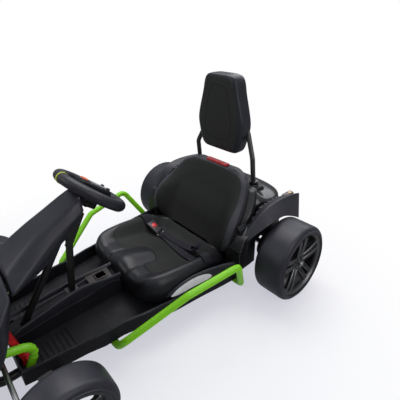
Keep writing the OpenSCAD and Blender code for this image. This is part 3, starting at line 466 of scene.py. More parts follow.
def keep_faces(piece, test):
    """Deletes the faces that fail the test."""
    pick_nothing()
    piece.select_set(True)
    bpy.context.view_layer.objects.active = piece
    bpy.ops.object.mode_set(mode="EDIT")
    bpy.ops.mesh.select_mode(type="FACE")
    bpy.ops.mesh.select_all(action="DESELECT")
    bpy.ops.object.mode_set(mode="OBJECT")
    for face in piece.data.polygons:
        face.select = not test(face)
    bpy.ops.object.mode_set(mode="EDIT")
    bpy.ops.mesh.delete(type="FACE")
    bpy.ops.object.mode_set(mode="OBJECT")


def mirrored(piece, name):
    """A copy on the other side of the kart, with its faces turned right way out."""
    twin = bpy.data.objects.new(name, piece.data.copy())
    twin.data.name = name
    bpy.context.collection.objects.link(twin)
    for vertex in twin.data.vertices:
        vertex.co.x = -vertex.co.x
    twin.data.flip_normals()
    return twin


def coated(piece, *names):
    for name in names:
        piece.data.materials.append(finishes[name])
    return piece


def pair(piece, name):
    """A left-hand piece and its mirror image as one piece."""
    return joined([piece, mirrored(piece, name + "_twin")], name)


def joined(pieces, name):
    pick_nothing()
    for piece in pieces:
        piece.select_set(True)
    bpy.context.view_layer.objects.active = pieces[0]
    bpy.ops.object.join()
    pieces[0].name = pieces[0].data.name = name
    return pieces[0]


# %% [markdown]
# The seat has two finishes in one moulding: satin rolls, and sunk matt panels where the driver sits, with fine
# grooves round them. A picture would do it, but here each point of the mesh stores how far it is from a panel's
# outline and from the nearest groove, in metres. The shader turns those distances into a crisp border and a rounded
# groove whose floor is darkened with painted shade.

# %% Distances to outlines


def signed_distance(points, outline):
    """Distance of each point to a closed outline, positive inside it."""
    p = np.asarray(points, dtype=float)[:, None, :]
    a = np.asarray(outline, dtype=float)
    b = np.roll(a, -1, axis=0)
    d = b - a
    t = np.clip(((p - a) * d).sum(-1) / (d * d).sum(-1), 0, 1)
    away = np.linalg.norm(p - (a + t[..., None] * d), axis=-1).min(1)
    level = (a[:, 1] > p[..., 1]) != (b[:, 1] > p[..., 1])
    rise = np.where(np.abs(d[:, 1]) < 1e-9, 1e-9, d[:, 1])
    left = p[..., 0] < a[:, 0] + d[:, 0] * (p[..., 1] - a[:, 1]) / rise
    return np.where((level & left).sum(1) % 2 == 1, away, -away)


def softened(points, rounds=3, closed=True):
    """Cuts the corners of an outline again and again until they are round."""
    for _ in range(rounds):
        pairs = zip(points, points[1:] + points[:1]) if closed else zip(points[:-1], points[1:])
        cut = []
        for (ax, ay), (bx, by) in pairs:
            cut += [(ax * 0.75 + bx * 0.25, ay * 0.75 + by * 0.25), (ax * 0.25 + bx * 0.75, ay * 0.25 + by * 0.75)]
        points = cut if closed else [points[0]] + cut[1:-1] + [points[-1]]
    return points


def store(piece, name, values):
    field = piece.data.attributes.new(name, "FLOAT", "POINT")
    field.data.foreach_set("value", [float(v) for v in values])


def positions(piece):
    """A piece's points and their normals, the points in millimetres."""
    mesh = piece.data
    place, normal = np.zeros(len(mesh.vertices) * 3), np.zeros(len(mesh.vertices) * 3)
    mesh.vertices.foreach_get("co", place)
    mesh.vertices.foreach_get("normal", normal)
    return place.reshape(-1, 3) * 1000, normal.reshape(-1, 3)


# %% Effect: moulded groove
# The Shade output is painted shade: it darkens the groove towards its floor.
groove_tree, v_in, v_out = open_group(
    "moulded_groove",
    [("Distance", "NodeSocketFloat", 0.1), ("Half width", "NodeSocketFloat", 0.0016)],
    [("Height", "NodeSocketFloat"), ("Shade", "NodeSocketFloat")])
across_groove = math_node(groove_tree, "DIVIDE", v_in.outputs["Distance"], v_in.outputs["Half width"], clamp=True)
rounded = math_node(groove_tree, "SQRT", math_node(groove_tree, "SUBTRACT", 1.0,
                    math_node(groove_tree, "POWER", math_node(groove_tree, "SUBTRACT", 1.0, across_groove), 2.0),
                        clamp=True))
join(groove_tree, rounded, v_out.inputs["Height"])
join(groove_tree, math_node(groove_tree, "SUBTRACT", 1.0, rounded, clamp=True), v_out.inputs["Shade"])

# %% Effect: straight groove
straight_tree, t_in, t_out = open_group(
    "straight_groove",
    [("Place", "NodeSocketVector", None), ("Flatten", "NodeSocketVector", None), ("Start", "NodeSocketVector", None),
     ("Run", "NodeSocketVector", None)],
    [("Distance", "NodeSocketFloat")])


def vector_math(tree, operation, a, b=None, scale=None, result="Vector"):
    node = tree.nodes.new("ShaderNodeVectorMath")
    node.operation = operation
    for socket, value in ((node.inputs[0], a), (node.inputs[1], b), (node.inputs[3], scale)):
        if isinstance(value, bpy.types.NodeSocket):
            tree.links.new(value, socket)
        elif value is not None:
            socket.default_value = value
    return node.outputs[result]


flat_place = vector_math(straight_tree, "MULTIPLY", t_in.outputs["Place"], t_in.outputs["Flatten"])
from_start = vector_math(straight_tree, "SUBTRACT", flat_place, t_in.outputs["Start"])
run = t_in.outputs["Run"]
along_run = math_node(straight_tree, "DIVIDE", vector_math(straight_tree, "DOT_PRODUCT", from_start, run,
    result="Value"),
                      vector_math(straight_tree, "DOT_PRODUCT", run, run, result="Value"), clamp=True)
nearest = vector_math(straight_tree, "SCALE", run, scale=along_run)
gap = vector_math(straight_tree, "SUBTRACT", from_start, nearest)
join(straight_tree, vector_math(straight_tree, "LENGTH", gap, result="Value"), t_out.inputs["Distance"])

# %% [markdown]
# The inlaid finish mixes the two plastics by the stored distance and cuts the grooves, whose floors get painted
# shade. The satin has a blue-grey sheen; on the seat back its colour is set lighter as a painted sheen. The matt
# panels are warmer, with a fine pebble.

# %% Finish: inlaid mouldings


def inlaid_material(name, satin, matt, satin_rough, matt_rough, groove_half=0.0016, groove_depth=0.0011,
                    cells_per_metre=800.0, grain_depth=0.00006, specular=0.3, flatten=(1, 1, 0), lines=()):
    material = bpy.data.materials.new(name)
    material.use_nodes = True
    tree = material.node_tree
    shader = tree.nodes["Principled BSDF"]
    place = add(tree, "ShaderNodeTexCoord").outputs["Object"]
    inlay = add(tree, "ShaderNodeAttribute", attribute_name="inlay").outputs["Fac"]
    line = add(tree, "ShaderNodeAttribute", attribute_name="groove").outputs["Fac"]
    grain = add(tree, "ShaderNodeGroup", node_tree=grain_tree)
    grain.inputs["Cells per metre"].default_value = cells_per_metre
    dust_sheen_mark = add(tree, "ShaderNodeGroup", node_tree=dust_sheen_tree)
    dust_sheen_mark.inputs["Amount"].default_value = 0.1
    rubbed = add(tree, "ShaderNodeGroup", node_tree=edge_tree)
    rubbed.inputs["Amount"].default_value = 0.25
    for node in (grain, dust_sheen_mark, rubbed):
        join(tree, place, node.inputs["Place"])
    groove = add(tree, "ShaderNodeGroup", node_tree=groove_tree)
    groove.inputs["Half width"].default_value = groove_half
    line = math_node(tree, "ABSOLUTE", line)
    for start, end in lines:
        straight = add(tree, "ShaderNodeGroup", node_tree=straight_tree)
        join(tree, place, straight.inputs["Place"])
        straight.inputs["Flatten"].default_value = flatten
        straight.inputs["Start"].default_value = start
        straight.inputs["Run"].default_value = Vector(end) - Vector(start)
        line = math_node(tree, "MINIMUM", line, straight.outputs["Distance"])
    join(tree, line, groove.inputs["Distance"])
    inside = math_node(tree, "ADD", math_node(tree, "MULTIPLY", inlay, 1600.0), 0.5, clamp=True)
    tone = math_node(tree, "MULTIPLY", math_node(tree, "SUBTRACT", grain.outputs["Tone"], 0.3, clamp=True), 2.4,
        clamp=True)
    outer = mix_colour(tree, tone, satin, tuple(v * 1.35 for v in satin))
    outer = mix_colour(tree, rubbed.outputs["Edge"], outer, (0.1, 0.1, 0.115))
    colour = mix_colour(tree, inside, outer, mix_colour(tree, tone, matt, tuple(v * 1.3 for v in matt)))
    # Greyer where the surface faces up: settled dust together with a painted sheen of the top light.
    colour = mix_colour(tree, dust_sheen_mark.outputs["Dust and sheen"], colour, (0.16, 0.16, 0.165))
    # Painted shade: the groove's floor is darkened towards black.
    colour = mix_colour(tree, math_node(tree, "MULTIPLY", groove.outputs["Shade"], 0.8), colour, (0.003, 0.003,
        0.003))
    join(tree, colour, shader.inputs["Base Color"])
    roughness = math_node(tree, "ADD", satin_rough, math_node(tree, "MULTIPLY", inside, matt_rough - satin_rough))
    drift = math_node(tree, "MULTIPLY", math_node(tree, "SUBTRACT", grain.outputs["Tone"], 0.5), 0.2)
    join(tree, math_node(tree, "ADD", roughness, drift, clamp=True), shader.inputs["Roughness"])
    fine = add(tree, "ShaderNodeBump", Strength=1.0, Distance=grain_depth)
    join(tree, grain.outputs["Height"], fine.inputs["Height"])
    cut = add(tree, "ShaderNodeBump", Strength=1.0, Distance=groove_depth)
    join(tree, groove.outputs["Height"], cut.inputs["Height"])
    join(tree, fine.outputs["Normal"], cut.inputs["Normal"])
    join(tree, cut.outputs["Normal"], shader.inputs["Normal"])
    shader.inputs["Specular IOR Level"].default_value = specular
    return material


# The chevron and the creases are drawn as grooves in the finish, darkened with painted shade.
chevron = [(-0.082, 0, 0.176), (-0.061, 0, 0.223), (0.057, 0, 0.224), (0.08, 0, 0.176)]
creases = [((side * 0.057, -0.11, 0), (side * 0.057, -0.016, 0)) for side in (-1, 1)]
seat_finish = inlaid_material("seat_inlaid", (0.01, 0.01, 0.013), (0.0085, 0.0088, 0.008), 0.34, 0.66, lines=creases)
# The seat back's satin colour is about three times the cushion's: a painted sheen on its band and flanks.
back_finish = inlaid_material("back_inlaid", (0.03, 0.03, 0.038), (0.0085, 0.0088, 0.008), 0.42, 0.62,
                              groove_half=0.0015, flatten=(1, 0, 1), lines=list(zip(chevron[:-1], chevron[1:])))
headrest_finish = inlaid_material("headrest_inlaid", (0.017, 0.018, 0.024), (0.018, 0.0185, 0.0175), 0.34, 0.6,
                                  groove_half=0.007, groove_depth=0.0008, cells_per_metre=1100.0)

# %% [markdown]
# The seat cushion is one hard moulding with soft forms: two side rolls, a low tongue
# between the legs, and a nose that turns down to the floor. A crease on each side of the
# tongue splits the nose into three. Its section is a height over the width, and it is set
# from the same table as the CAD solid, so it fills the space that the solid holds.

# %% Seat cushion
SEAT_HALF = 200
seat_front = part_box("seat_base")[0][1] * 1000
seat_table = smooth_rows([
    (seat_front, 0.7, 116, 136, 138, 2), (-80, 0.78, 112, 154, 162, 5), (-64, 0.86, 106, 166, 180, 8),
    (-36, 0.94, 97, 165, 187, 12), (10, 0.98, 86, 153, 187, 12), (70, 1, 86, 141, 184, 6), (130, 1, 86, 129, 178, 0),
    (178, 0.98, 86, 121, 170, 0), (205, 0.96, 86, 128, 158, 0), (225, 0.94, 86, 142, 152, 0), (236, 0.93, 86, 149,
        150, 0)])
half_outline = [(0, 58), (22, 57), (40, 52), (51, 42), (56, 26), (57, 4), (62, -10), (78, -18), (110, -18), (134,
    -12),
                (152, 4), (164, 28), (168, 60), (169, 250)]
thigh_outline = [(-x, y) for x, y in reversed(half_outline[1:])] + half_outline
seat_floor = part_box("seat_base")[0][2] * 1000


def seat_surface(x, y):
    share, _, thigh, roll, tongue = seat_table(y)
    u = abs(x) / (SEAT_HALF * share)
    z = thigh + (roll - thigh) * ease((u - 0.58) / 0.28) + tongue * (1 - ease(u / 0.28))
    z -= 26 * max(0.0, (u - 0.84) / 0.16) ** 2.4
    crease = math.exp(-((abs(x) - 57) / 3.6) ** 2) * (1 - ease((y + 34) / 26))
    return z - 4.5 * crease


def seat_ring(y):
    share, under = seat_table(y)[:2]
    half = SEAT_HALF * share
    shares = (1, 0.985, 0.955, 0.92, 0.88, 0.83, 0.78, 0.72, 0.66, 0.6, 0.53, 0.46, 0.39, 0.32, 0.25, 0.17, 0.09)
    widths = [70 + (half - 70) * w for w in shares] + [68, 64, 60, 57, 54, 50, 44, 36, 27, 18, 9]
    floor_z = max(under, seat_floor)
    tops = [(x, y, max(floor_z + 18, seat_surface(x, y))) for x in widths]
    side = [(half - 16, y, floor_z), (half - 6, y, floor_z + 2), (half - 1, y, floor_z + 10),
            (half, y, (floor_z + 12 + tops[0][2]) / 2)]
    right = side + tops
    return right + [(0, y, seat_surface(0, y))] + [(-x, y, z) for x, y, z in reversed(right)]


seat_sections = [seat_front, seat_front + 1.5, seat_front + 5] + [seat_front + 11 + 6 * k for k in range(200)
                                                                if seat_front + 11 + 6 * k < 234] + [236]
cushion = skin("seat_cushion_shell", [seat_ring(y) for y in seat_sections], levels=1)
place, normal = positions(cushion)
inlay = signed_distance(place[:, :2], softened(thigh_outline, 2))
inlay = np.where(normal[:, 2] > 0.3, inlay, -20.0)
for vertex, depth in zip(cushion.data.vertices, inlay):
    vertex.co.z -= 0.0014 * ease(depth / 5 + 0.5)
store(cushion, "inlay", inlay / 1000)
store(cushion, "groove", inlay / 1000)
dress(cushion, seat_finish, stands_for=["seat_base"])

# %% [markdown]
# The seat back is a bowl with wings. Its broad face is matt, with a groove that traces a stepped panel and a chevron
# below, and a satin band runs round its edge, its colour painted lighter than the cushion's satin as a painted sheen.
# It is a skin over level sections: each has a front line that curls forward at the wings and a rear line behind it.

# %% Seat back
back_table = smooth_rows([
    (149.5, 187, 239, -8), (170, 196, 249, -26), (195, 208, 260, -44), (230, 216, 274, -52), (270, 214, 294, -46),
    (310, 198, 317, -22), (340, 182, 333, -8), (370, 164, 350, 0), (384, 138, 358, 4), (393, 112, 366, 2), (396, 92,
        371, 2)])
BACK_THICK = 30


def back_ring(z):
    half, face, lead = back_table(z)
    shares = [-1, -0.985, -0.95, -0.9, -0.84, -0.78, -0.71, -0.64, -0.57, -0.5, -0.42, -0.34, -0.26, -0.17, -0.08]
    shares = shares + [0] + [-s for s in reversed(shares)]
    front = [(half * s, face + lead * ease((abs(s) - 0.52) / 0.4) + 9 * max(0.0, (abs(s) - 0.9) / 0.1) ** 2, z)
             for s in shares]
    rear = [(half * s * 0.985, face + BACK_THICK + 0.8 * lead * ease((abs(s) - 0.52) / 0.44), z) for s in shares]
    flank = [tuple(a * (1 - t) + b * t for a, b in zip(front[-1], rear[-1])) for t in (0.15, 0.5, 0.85)]
    other = [tuple(a * (1 - t) + b * t for a, b in zip(rear[0], front[0])) for t in (0.15, 0.5, 0.85)]
    return front + flank + rear[::-1] + other


back_sections = [149.7, 151.5, 155] + spread(161, 384, 32) + [388, 391, 393.5, 395.2, 396]
back = skin("seat_back_shell", [back_ring(z) for z in back_sections], levels=1)
place, normal = positions(back)
face_outline = softened([(-128, 392), (128, 392), (168, 350), (196, 262), (196, 215), (180, 168), (150, 120), (-150,
    120),
                         (-180, 168), (-196, 215), (-196, 262), (-168, 350)], 2)
plane = place[:, [0, 2]]
inlay = np.where(normal[:, 1] < -0.2, signed_distance(plane, face_outline), -30.0)
half_groove = [(101, 120), (101, 160), (106, 167), (138, 174), (142, 228), (138, 288), (125, 306), (90, 313), (82,
    322),
               (60, 345), (52, 349), (0, 350)]
panel_line = half_groove + [(-x, z) for x, z in reversed(half_groove[:-1])]
groove = signed_distance(plane, softened(panel_line, 1))
store(back, "inlay", inlay / 1000)
store(back, "groove", np.where(normal[:, 1] < -0.2, groove, -30.0) / 1000)
dress(back, back_finish, stands_for=["seat_back"])

# %% [markdown]
# The headrest is a coffin-shaped pad: wide at the shoulders, narrower at the top and cut in
# at the foot, with softly rounded edges. Its face is matt with a faint sunk contour, and
# its sides shine a little.

# %% Headrest
rest_table = smooth_rows([(448, 76, 390), (458, 89, 384), (480, 98, 381), (520, 109, 379), (556, 114, 378),
                          (600, 105, 377), (660, 88, 377), (708, 77, 378), (724, 64, 381), (730, 44, 388)])
REST_MID = 411


def headrest_ring(z):
    half, front = rest_table(z)
    depth = REST_MID - front
    ring = []
    for k in range(48):
        a = 2 * math.pi * k / 48
        c, s = math.cos(a), math.sin(a)
        ring.append((half * math.copysign(abs(c) ** 0.3, c), REST_MID + depth * math.copysign(abs(s) ** 0.36, s), z))
    return ring


rest_sections = [448, 449.5, 452.5] + spread(458, 712, 34) + [717, 721, 724.5, 727, 729, 730]
headrest = skin("headrest_shell", [headrest_ring(z) for z in rest_sections], levels=1)
place, normal = positions(headrest)
plane = place[:, [0, 2]]
rest_face = softened([(-48, 721), (48, 721), (63, 706), (76, 655), (94, 590), (100, 556), (95, 520), (86, 486), (68,
    460),
                      (-68, 460), (-86, 486), (-95, 520), (-100, 556), (-94, 590), (-76, 655), (-63, 706)], 2)
contour = softened([(-30, 690), (30, 690), (44, 668), (58, 600), (66, 556), (62, 515), (46, 492), (-46, 492), (-62,
    515),
                    (-66, 556), (-58, 600), (-44, 668)], 2)
ahead = normal[:, 1] < -0.25
store(headrest, "inlay", np.where(ahead, signed_distance(plane, rest_face), -30.0) / 1000)
# The contour is cut as a bump and darkened with painted shade in the finish.
store(headrest, "groove", np.where(ahead, signed_distance(plane, contour), -30.0) / 1000)
dress(headrest, headrest_finish, stands_for=["headrest_pad"])

# %% [markdown]
# The column cover is a vacuum-thin shell that hides the steering column. It was moulded as
# a channel, open below, with a broad sloping side, a soft ridge and a flat chin under its
# upper end. It is a skin over six-cornered sections whose corners are rounded a little; its
# bottom and upper end are then opened, and Solidify gives it its wall.

# %% Column cover
FRONT_Y = -390
cover_table = smooth_rows([(FRONT_Y - 10, 62, 333, 108, 298, 84, 284), (-354, 54, 366, 92, 322, 72, 293),
                           (-309, 48, 396, 78, 350, 64, 311), (-263, 44, 421, 66, 380, 58, 333),
                           (-205.6, 42, 451, 57, 413, 54, 352), (-176, 39, 465, 52, 426, 50, 364)])


def shell_ring(y, row, radii, shift=0.0):
    """A six-cornered section with a raised middle. The corners below the shoulder may lean forward by shift."""
    top_w, top_z, side_w, side_z, low_w, low_z = row
    lean = shift * max(0.0, side_z - low_z)
    corners = [(-low_w, y - lean, low_z), (low_w, y - lean, low_z), (side_w, y, side_z), (top_w, y, top_z),
               (0, y, top_z + 3), (-top_w, y, top_z), (-side_w, y, side_z)]
    return rounded_ring(corners, radii, steps=4)


cover_sections = spread(-399.7, -176, 26)
rings = []
for y in cover_sections:
    blend_in = ease((y + 300) / 110)
    rings.append(shell_ring(y, cover_table(y), (1.5, 1.5, 16 - 12 * blend_in, 15, 40, 15, 16 - 12 * blend_in),
        0.87 * blend_in))
cover = skin("column_cover_shell", rings, levels=1)
keep_faces(cover, lambda face: face.normal.z > -0.8 and not (face.normal.y > 0.6 and face.center.y > -0.24)
           and not (face.normal.y < -0.97 and face.center.y < -0.399))
apply_modifier(cover, "SOLIDIFY", thickness=0.0035, offset=-1)
dress(cover, finishes["cover_satin"], stands_for=["column_cover"], angle=30)

# %% [markdown]
# The nose carries the cover's lines down over the front axle. It is the same kind of shell,
# with more rows at its rounded tip, and it is left open below and at the cover's end.

# %% Nose cone
nose_table = smooth_rows([(-595, 60, 108, 120, 92, 150, 60), (-590, 70, 128, 140, 104, 176, 62), (-570, 84, 160, 158,
    124, 200, 66),
                          (-535, 88, 205, 160, 160, 196, 92), (-490, 84, 256, 150, 210, 168, 140),
                          (-440, 74, 304, 132, 262, 140, 190), (-400.3, 62, 333, 108, 298, 84, 284)])
rings = [shell_ring(y, nose_table(y), (4, 4, 16, 15, 40, 15, 16)) for y in [-595, -593.5, -591, -587] + spread(-582,
    -400.3, 24)]
nose = skin("nose_cone_shell", rings, levels=1)
keep_faces(nose, lambda face: face.normal.z > -0.75 and not face.normal.y > 0.97)
apply_modifier(nose, "SOLIDIFY", thickness=0.004, offset=-1)
dress(nose, finishes["cover_satin"], stands_for=["nose_cone"], angle=30)

# %% [markdown]
# A tyre here is a hollow blow-moulded ring with a smooth tread and stepped shoulders. A
# torus would be too round, so its real half-section is turned about the axle: flat tread
# with a slight crown, rounded shoulder, a step in the sidewall and a bead against the rim.

# %% Tyres
REAR_Y = 400
REAR_R, FRONT_R = 135, 115


def tyre(name, side, face_x, centre_y, outer, bead, width, body):
    section = [(0.0, bead + 0.3), (2, bead + 3), (1, bead + 8), (3, bead + 9), (4, outer - 10), (7, outer - 4.5), (12,
        outer - 1.2),
               (18, outer - 0.2), (width / 2, outer)]
    whole = section + [(width - depth, r) for depth, r in reversed(section[:-1])]
    whole = [(side * (depth - width), r) for depth, r in whole]
    piece = turned(name + "_tread", whole, (side * face_x, centre_y, outer), steps=112)
    for vertex in piece.data.vertices:
        vertex.co.z = max(vertex.co.z, 0.0)
    return dress(piece, finishes["tyre_plastic"], body=body, stands_for=[name], angle=28)


for side, word in ((1, "left"), (-1, "right")):
    tyre("rear_tyre_" + word, side, 400, REAR_Y, REAR_R, 113, 112, "rear_wheel_" + word)
    tyre("front_tyre_" + word, side, 365, FRONT_Y, FRONT_R, 92, 85, "front_wheel_" + word)

# %% [markdown]
# The rims are moulded in black with five twin spokes whose edges were faced bright. Each
# bar is drawn once as a tapering skin with bevelled edges, and those bevels take the bright
# finish. Copies are turned about the axle, and a turned barrel, hub, cap and five nuts
# complete the wheel.

# %% Rims


def spoke_bar(side, r_in, r_out, offset_in, offset_out, width, face, thick):
    """One bar along +Z from the hub to the barrel. Its outer face looks along side * X."""
    rings = []
    for k, t in enumerate((0, 0.08, 0.5, 0.92, 1.0)):
        r = r_in + (r_out - r_in) * t
        mid = offset_in + (offset_out - offset_in) * t
        half = width / 2 * (1.12 - 0.12 * t)
        sink = 9 * (1 - t) ** 2 + (3 if k in (0, 4) else 0)
        bevel = 2.0
        outer = face - sink
        rings.append([(side * q, mid + p, r) for q, p in (
            (outer, -half + bevel), (outer, half - bevel), (outer - bevel, half), (outer - thick, half),
                (outer - thick, -half),
            (outer - bevel, -half))])
    bar = skin("bar", rings)
    coated(bar, "rim_black", "machined")
    for face_ in bar.data.polygons:
        n = face_.normal
        if abs(n.y) > 0.35 and side * n.x > 0.35:
            face_.material_index = 1
    return bar


def turn_about_x(piece, angle):
    piece.data.transform(Matrix.Rotation(angle, 4, "X"))


def shift(piece, x, y, z):
    piece.data.transform(Matrix.Translation((x / 1000, y / 1000, z / 1000)))


def rim(name, side, face_x, centre_y, centre_z, bead, width, hub_r, body):
    parts = []
    face = -8.0
    barrel = [(side * d, r) for d, r in ((-3, bead), (-2, bead - 2), (-4, bead - 5), (-10, bead - 10), (-14,
        bead - 13),
                                         (-24, bead - 13), (-width + 8, bead - 6), (-width + 5, bead), (-width + 12,
                                             bead - 0.5),
                                         (-12, bead - 0.5))]
    parts.append(turned("barrel", barrel, (0, 0, 0), steps=96))
    coated(parts[0], "rim_black", "machined")
    for f in parts[0].data.polygons:
        reach = math.hypot(f.center.y, f.center.z) * 1000
        if side * f.normal.x > 0.3 and bead - 11 < reach < bead - 4:
            f.material_index = 1
    for k in range(5):
        for hand in (-1, 1):
            bar = spoke_bar(side, hub_r - 6, bead - 10, hand * 10, hand * 15.5, 14.5, face, 12)
            turn_about_x(bar, 2 * math.pi * k / 5)
            parts.append(bar)
    hub = [(side * d, r) for d, r in ((-12, 0.5), (-12, 9), (-16, 12), (-16, hub_r - 3), (-18, hub_r), (-width + 12,
        hub_r),
                                      (-width + 10, hub_r - 4), (-width + 10, 0.5))]
    parts.append(coated(turned("hub", hub, (0, 0, 0), steps=48), "rim_black"))
    cap = [(side * d, r) for d, r in ((-3, 0.4), (-3.4, 4), (-5, 6.6), (-8, 7.6), (-9, 9.2), (-12.5, 9.6), (-12.5,
        0.4))]
    parts.append(coated(turned("cap", cap, (0, 0, 0), steps=6 * 6), "bare_steel"))
    for k in range(5):
        nut = turned("nut", [(side * d, r) for d, r in ((-11, 0.4), (-11, 3.2), (-12, 4.6), (-17, 4.6), (-17, 0.4))],
                     (0, 0, 17.5), steps=6)
        nut.data.materials.append(finishes["machined"])
        turn_about_x(nut, 2 * math.pi * (k + 0.5) / 5)
        parts.append(nut)
    wheel = joined(parts, name + "_spoked")
    shift(wheel, side * face_x, centre_y, centre_z)
    return dress(wheel, finishes["rim_black"], body=body, stands_for=[name], angle=25)


for side, word in ((1, "left"), (-1, "right")):
    rim("rear_rim_" + word, side, 400, REAR_Y, REAR_R, 113, 112, 27, "rear_wheel_" + word)
    rim("front_rim_" + word, side, 365, FRONT_Y, FRONT_R, 92, 85, 24, "front_wheel_" + word)

# %% [markdown]
# The rear fenders are arched blades: a light band slopes in to the body with a toothed
# edge, and a darker face falls to a sharp lower line, with a high tip behind. The section
# has three lines, which the table moves along the tyre. A plain dark guard fills the space
# between each fender and the body, in front of the tyre.

# %% Rear fenders
R = 135.0
fender_table = smooth_rows([
    (-1.13, 238, 0.51, 244, 0.6, 254, 0.56), (-0.98, 238, 0.674, 250, 0.83, 272, 0.75), (-0.8, 238, 0.881, 256, 1.06,
        290, 0.94),
    (-0.57, 238, 1.104, 264, 1.27, 302, 1.07), (-0.3, 238, 1.267, 268, 1.38, 306, 1.12), (0, 239, 1.326, 270, 1.42,
        306, 1.1),
    (0.33, 240, 1.333, 271, 1.42, 305, 0.97), (0.62, 243, 1.3, 272, 1.4, 299, 0.81), (0.87, 247, 1.22, 274, 1.37, 291,
        0.66),
    (0.99, 250, 1.15, 275, 1.34, 286, 0.58)])


def fender_ring(s):
    in_x, in_z, top_x, top_z, out_x, out_z = fender_table(s)
    y, t = REAR_Y + s * R, 5
    z = [R * (1 + v) for v in (in_z, top_z, out_z)]
    corners = [(in_x, y, z[0] - t), (top_x - t * 0.3, y, z[1] - t * 1.2), (out_x - t, y, z[2]), (out_x, y, z[2]),
        (top_x, y, z[1]),
               (in_x, y, z[0])]
    return rounded_ring(corners, (1, 2, 0.8, 0.8, 5, 1), steps=3)


rings = [fender_ring(s) for s in spread(-1.13, 0.99, 40)]
fender = skin("rear_fender_left_blade", rings)
teeth = []
for k in range(9):
    s = -0.92 + 0.15 * k
    in_x, in_z = fender_table(s)[:2]
    lie = math.atan2(R * (fender_table(s + 0.05)[1] - fender_table(s - 0.05)[1]), R * 0.1)
    pick_nothing()
    bpy.ops.mesh.primitive_cube_add(size=0.001)
    tooth = bpy.context.object
    for vertex in tooth.data.vertices:
        x, y, z = (math.copysign(1, v) for v in vertex.co)
        length = 7.5 if z < 0 else 4.5
        vertex.co = (0.001 * (x * 4.5 + 0.8), 0.001 * y * length, 0.001 * (z * 2.6 - (1.4 if x < 0 else 0)))
    tooth.data.transform(Matrix.Translation((in_x / 1000 + 0.001, (REAR_Y + s * R) / 1000,
        R * (1 + in_z) / 1000 + 0.0008))
                         @ Matrix.Rotation(lie, 4, "X"))
    apply_modifier(tooth, "BEVEL", width=0.0008, segments=1)
    teeth.append(tooth)
pick_nothing()
bpy.ops.mesh.primitive_cube_add(size=0.001)
bracket = bpy.context.object
for vertex in bracket.data.vertices:
    x, y, z = (math.copysign(1, v) for v in vertex.co)
    vertex.co = ((236.3 + 4 * x) / 1000, (395 + 45 * y) / 1000, (271.5 + 35 * z) / 1000)
apply_modifier(bracket, "BEVEL", width=0.002, segments=2)
fender = joined([fender, bracket] + teeth, "rear_fender_left_blade")
right_fender = mirrored(fender, "rear_fender_right_blade")
guard_rings = [rounded_ring([(x, 228, 120), (x, 254, 120), (x, 257, 160), (x, 268, 205), (x, 296, 240), (x, 296, 256),
    (x, 250, 232),
                             (x, 228, 190)], 3, steps=2) for x in (205, 258, 261, 262)]
guard = skin("inner_guard_left", guard_rings)
guard = pair(guard, "inner_guards")
dress(guard, finishes["rim_black"], angle=30)
dress(fender, finishes["fender_satin"], stands_for=["rear_fender_left"], angle=25)
dress(right_fender, finishes["fender_satin"], stands_for=["rear_fender_right"], angle=25)

# %% [markdown]
# The hood behind the seat is a glossy black bonnet. Its sections are half ovals, flattened
# below, that lean with the seat back and shrink to a rounded tail.

# %% Rear hood
hood_table = smooth_rows([(354, 0.56, 196, 372, 292), (380, 0.5, 216, 358, 288), (420, 0.3, 226, 334, 284), (460,
    0.14, 222, 326, 282),
                          (510, 0.05, 204, 316, 280), (545, 0, 172, 304, 278), (560, 0, 140, 290, 274)])


def hood_ring(y):
    lean, half, top, low = hood_table(y)
    points = [(-half + 3, 262.5), (half - 3, 262.5), (half, 266)]
    for k in range(25):
        a = math.pi * k / 24
        points.append((half * math.copysign(abs(math.cos(a)) ** 0.75, math.cos(a)),
            low + (top - low) * math.sin(a) ** 0.9))
    points.append((-half, 266))
    return [(x, y + lean * (z - 300), z) for x, z in points]


hood = skin("rear_hood_bonnet", [hood_ring(y) for y in spread(354, 548, 24) + [552, 556, 558.5, 560]], levels=1)
dress(hood, finishes["hood_gloss"], stands_for=["rear_hood"], angle=35)

# %% [markdown]
# The steering wheel has a thick moulded grip. A plain torus would look too even, so its
# section swells a little where the thumbs rest, and a thin yellow-green band marks the top.
# Everything on the wheel is drawn flat about its own centre and then tilted into place. It
# lies 6 degrees flatter than the joint's plane, as the wheel's outline in the photo does.

# %% Steering wheel
WHEEL_TILT = math.radians(40)
WHEEL_CENTRE = (0, -0.134, 0.452)
to_wheel = Matrix.Translation(WHEEL_CENTRE) @ Matrix.Rotation(-WHEEL_TILT, 4, "X")


def on_wheel(piece):
    piece.data.transform(to_wheel)
    return piece


WHEEL_R = 94.5


def spin_ring(ring_r, radii, name, flat=1.0):
    rings = []
    for k in range(97):
        a = 2 * math.pi * (k % 96) / 96
        grip = radii(a)
        rings.append([((ring_r + grip * math.cos(b)) * math.cos(a), (ring_r + grip * math.cos(b)) * math.sin(a),
                       flat * grip * math.sin(b)) for b in [2 * math.pi * i / 20 for i in range(20)]])
    return skin(name, rings)


def block(name, half_x, y_low, y_high, z_low, z_high, taper=1.0, corner=8, crown=2.0, levels=1):
    """A soft-cornered block on the wheel, narrower at its high y end."""
    rings = []
    for z, inset in ((z_low, 4), (z_low + 1, 1), (z_low + 4, 0), (z_high - 5, 0), (z_high - 1.6, 1.2), (z_high - 0.3,
        4)):
        a, b = half_x - inset, half_x * taper - inset
        corners = [(-a, y_low + inset, z), (a, y_low + inset, z), (b, y_high - inset, z), (-b, y_high - inset, z)]
        rings.append(rounded_ring(corners, corner, steps=4))
    rings.append([p * 0.6 + Vector((0, (y_low + y_high) / 2, z_high + crown)) * 0.4 for p in rings[-1]])
    for p in rings[-1]:
        p.z = z_high + crown * 0.6
    return skin(name, rings, levels=levels)


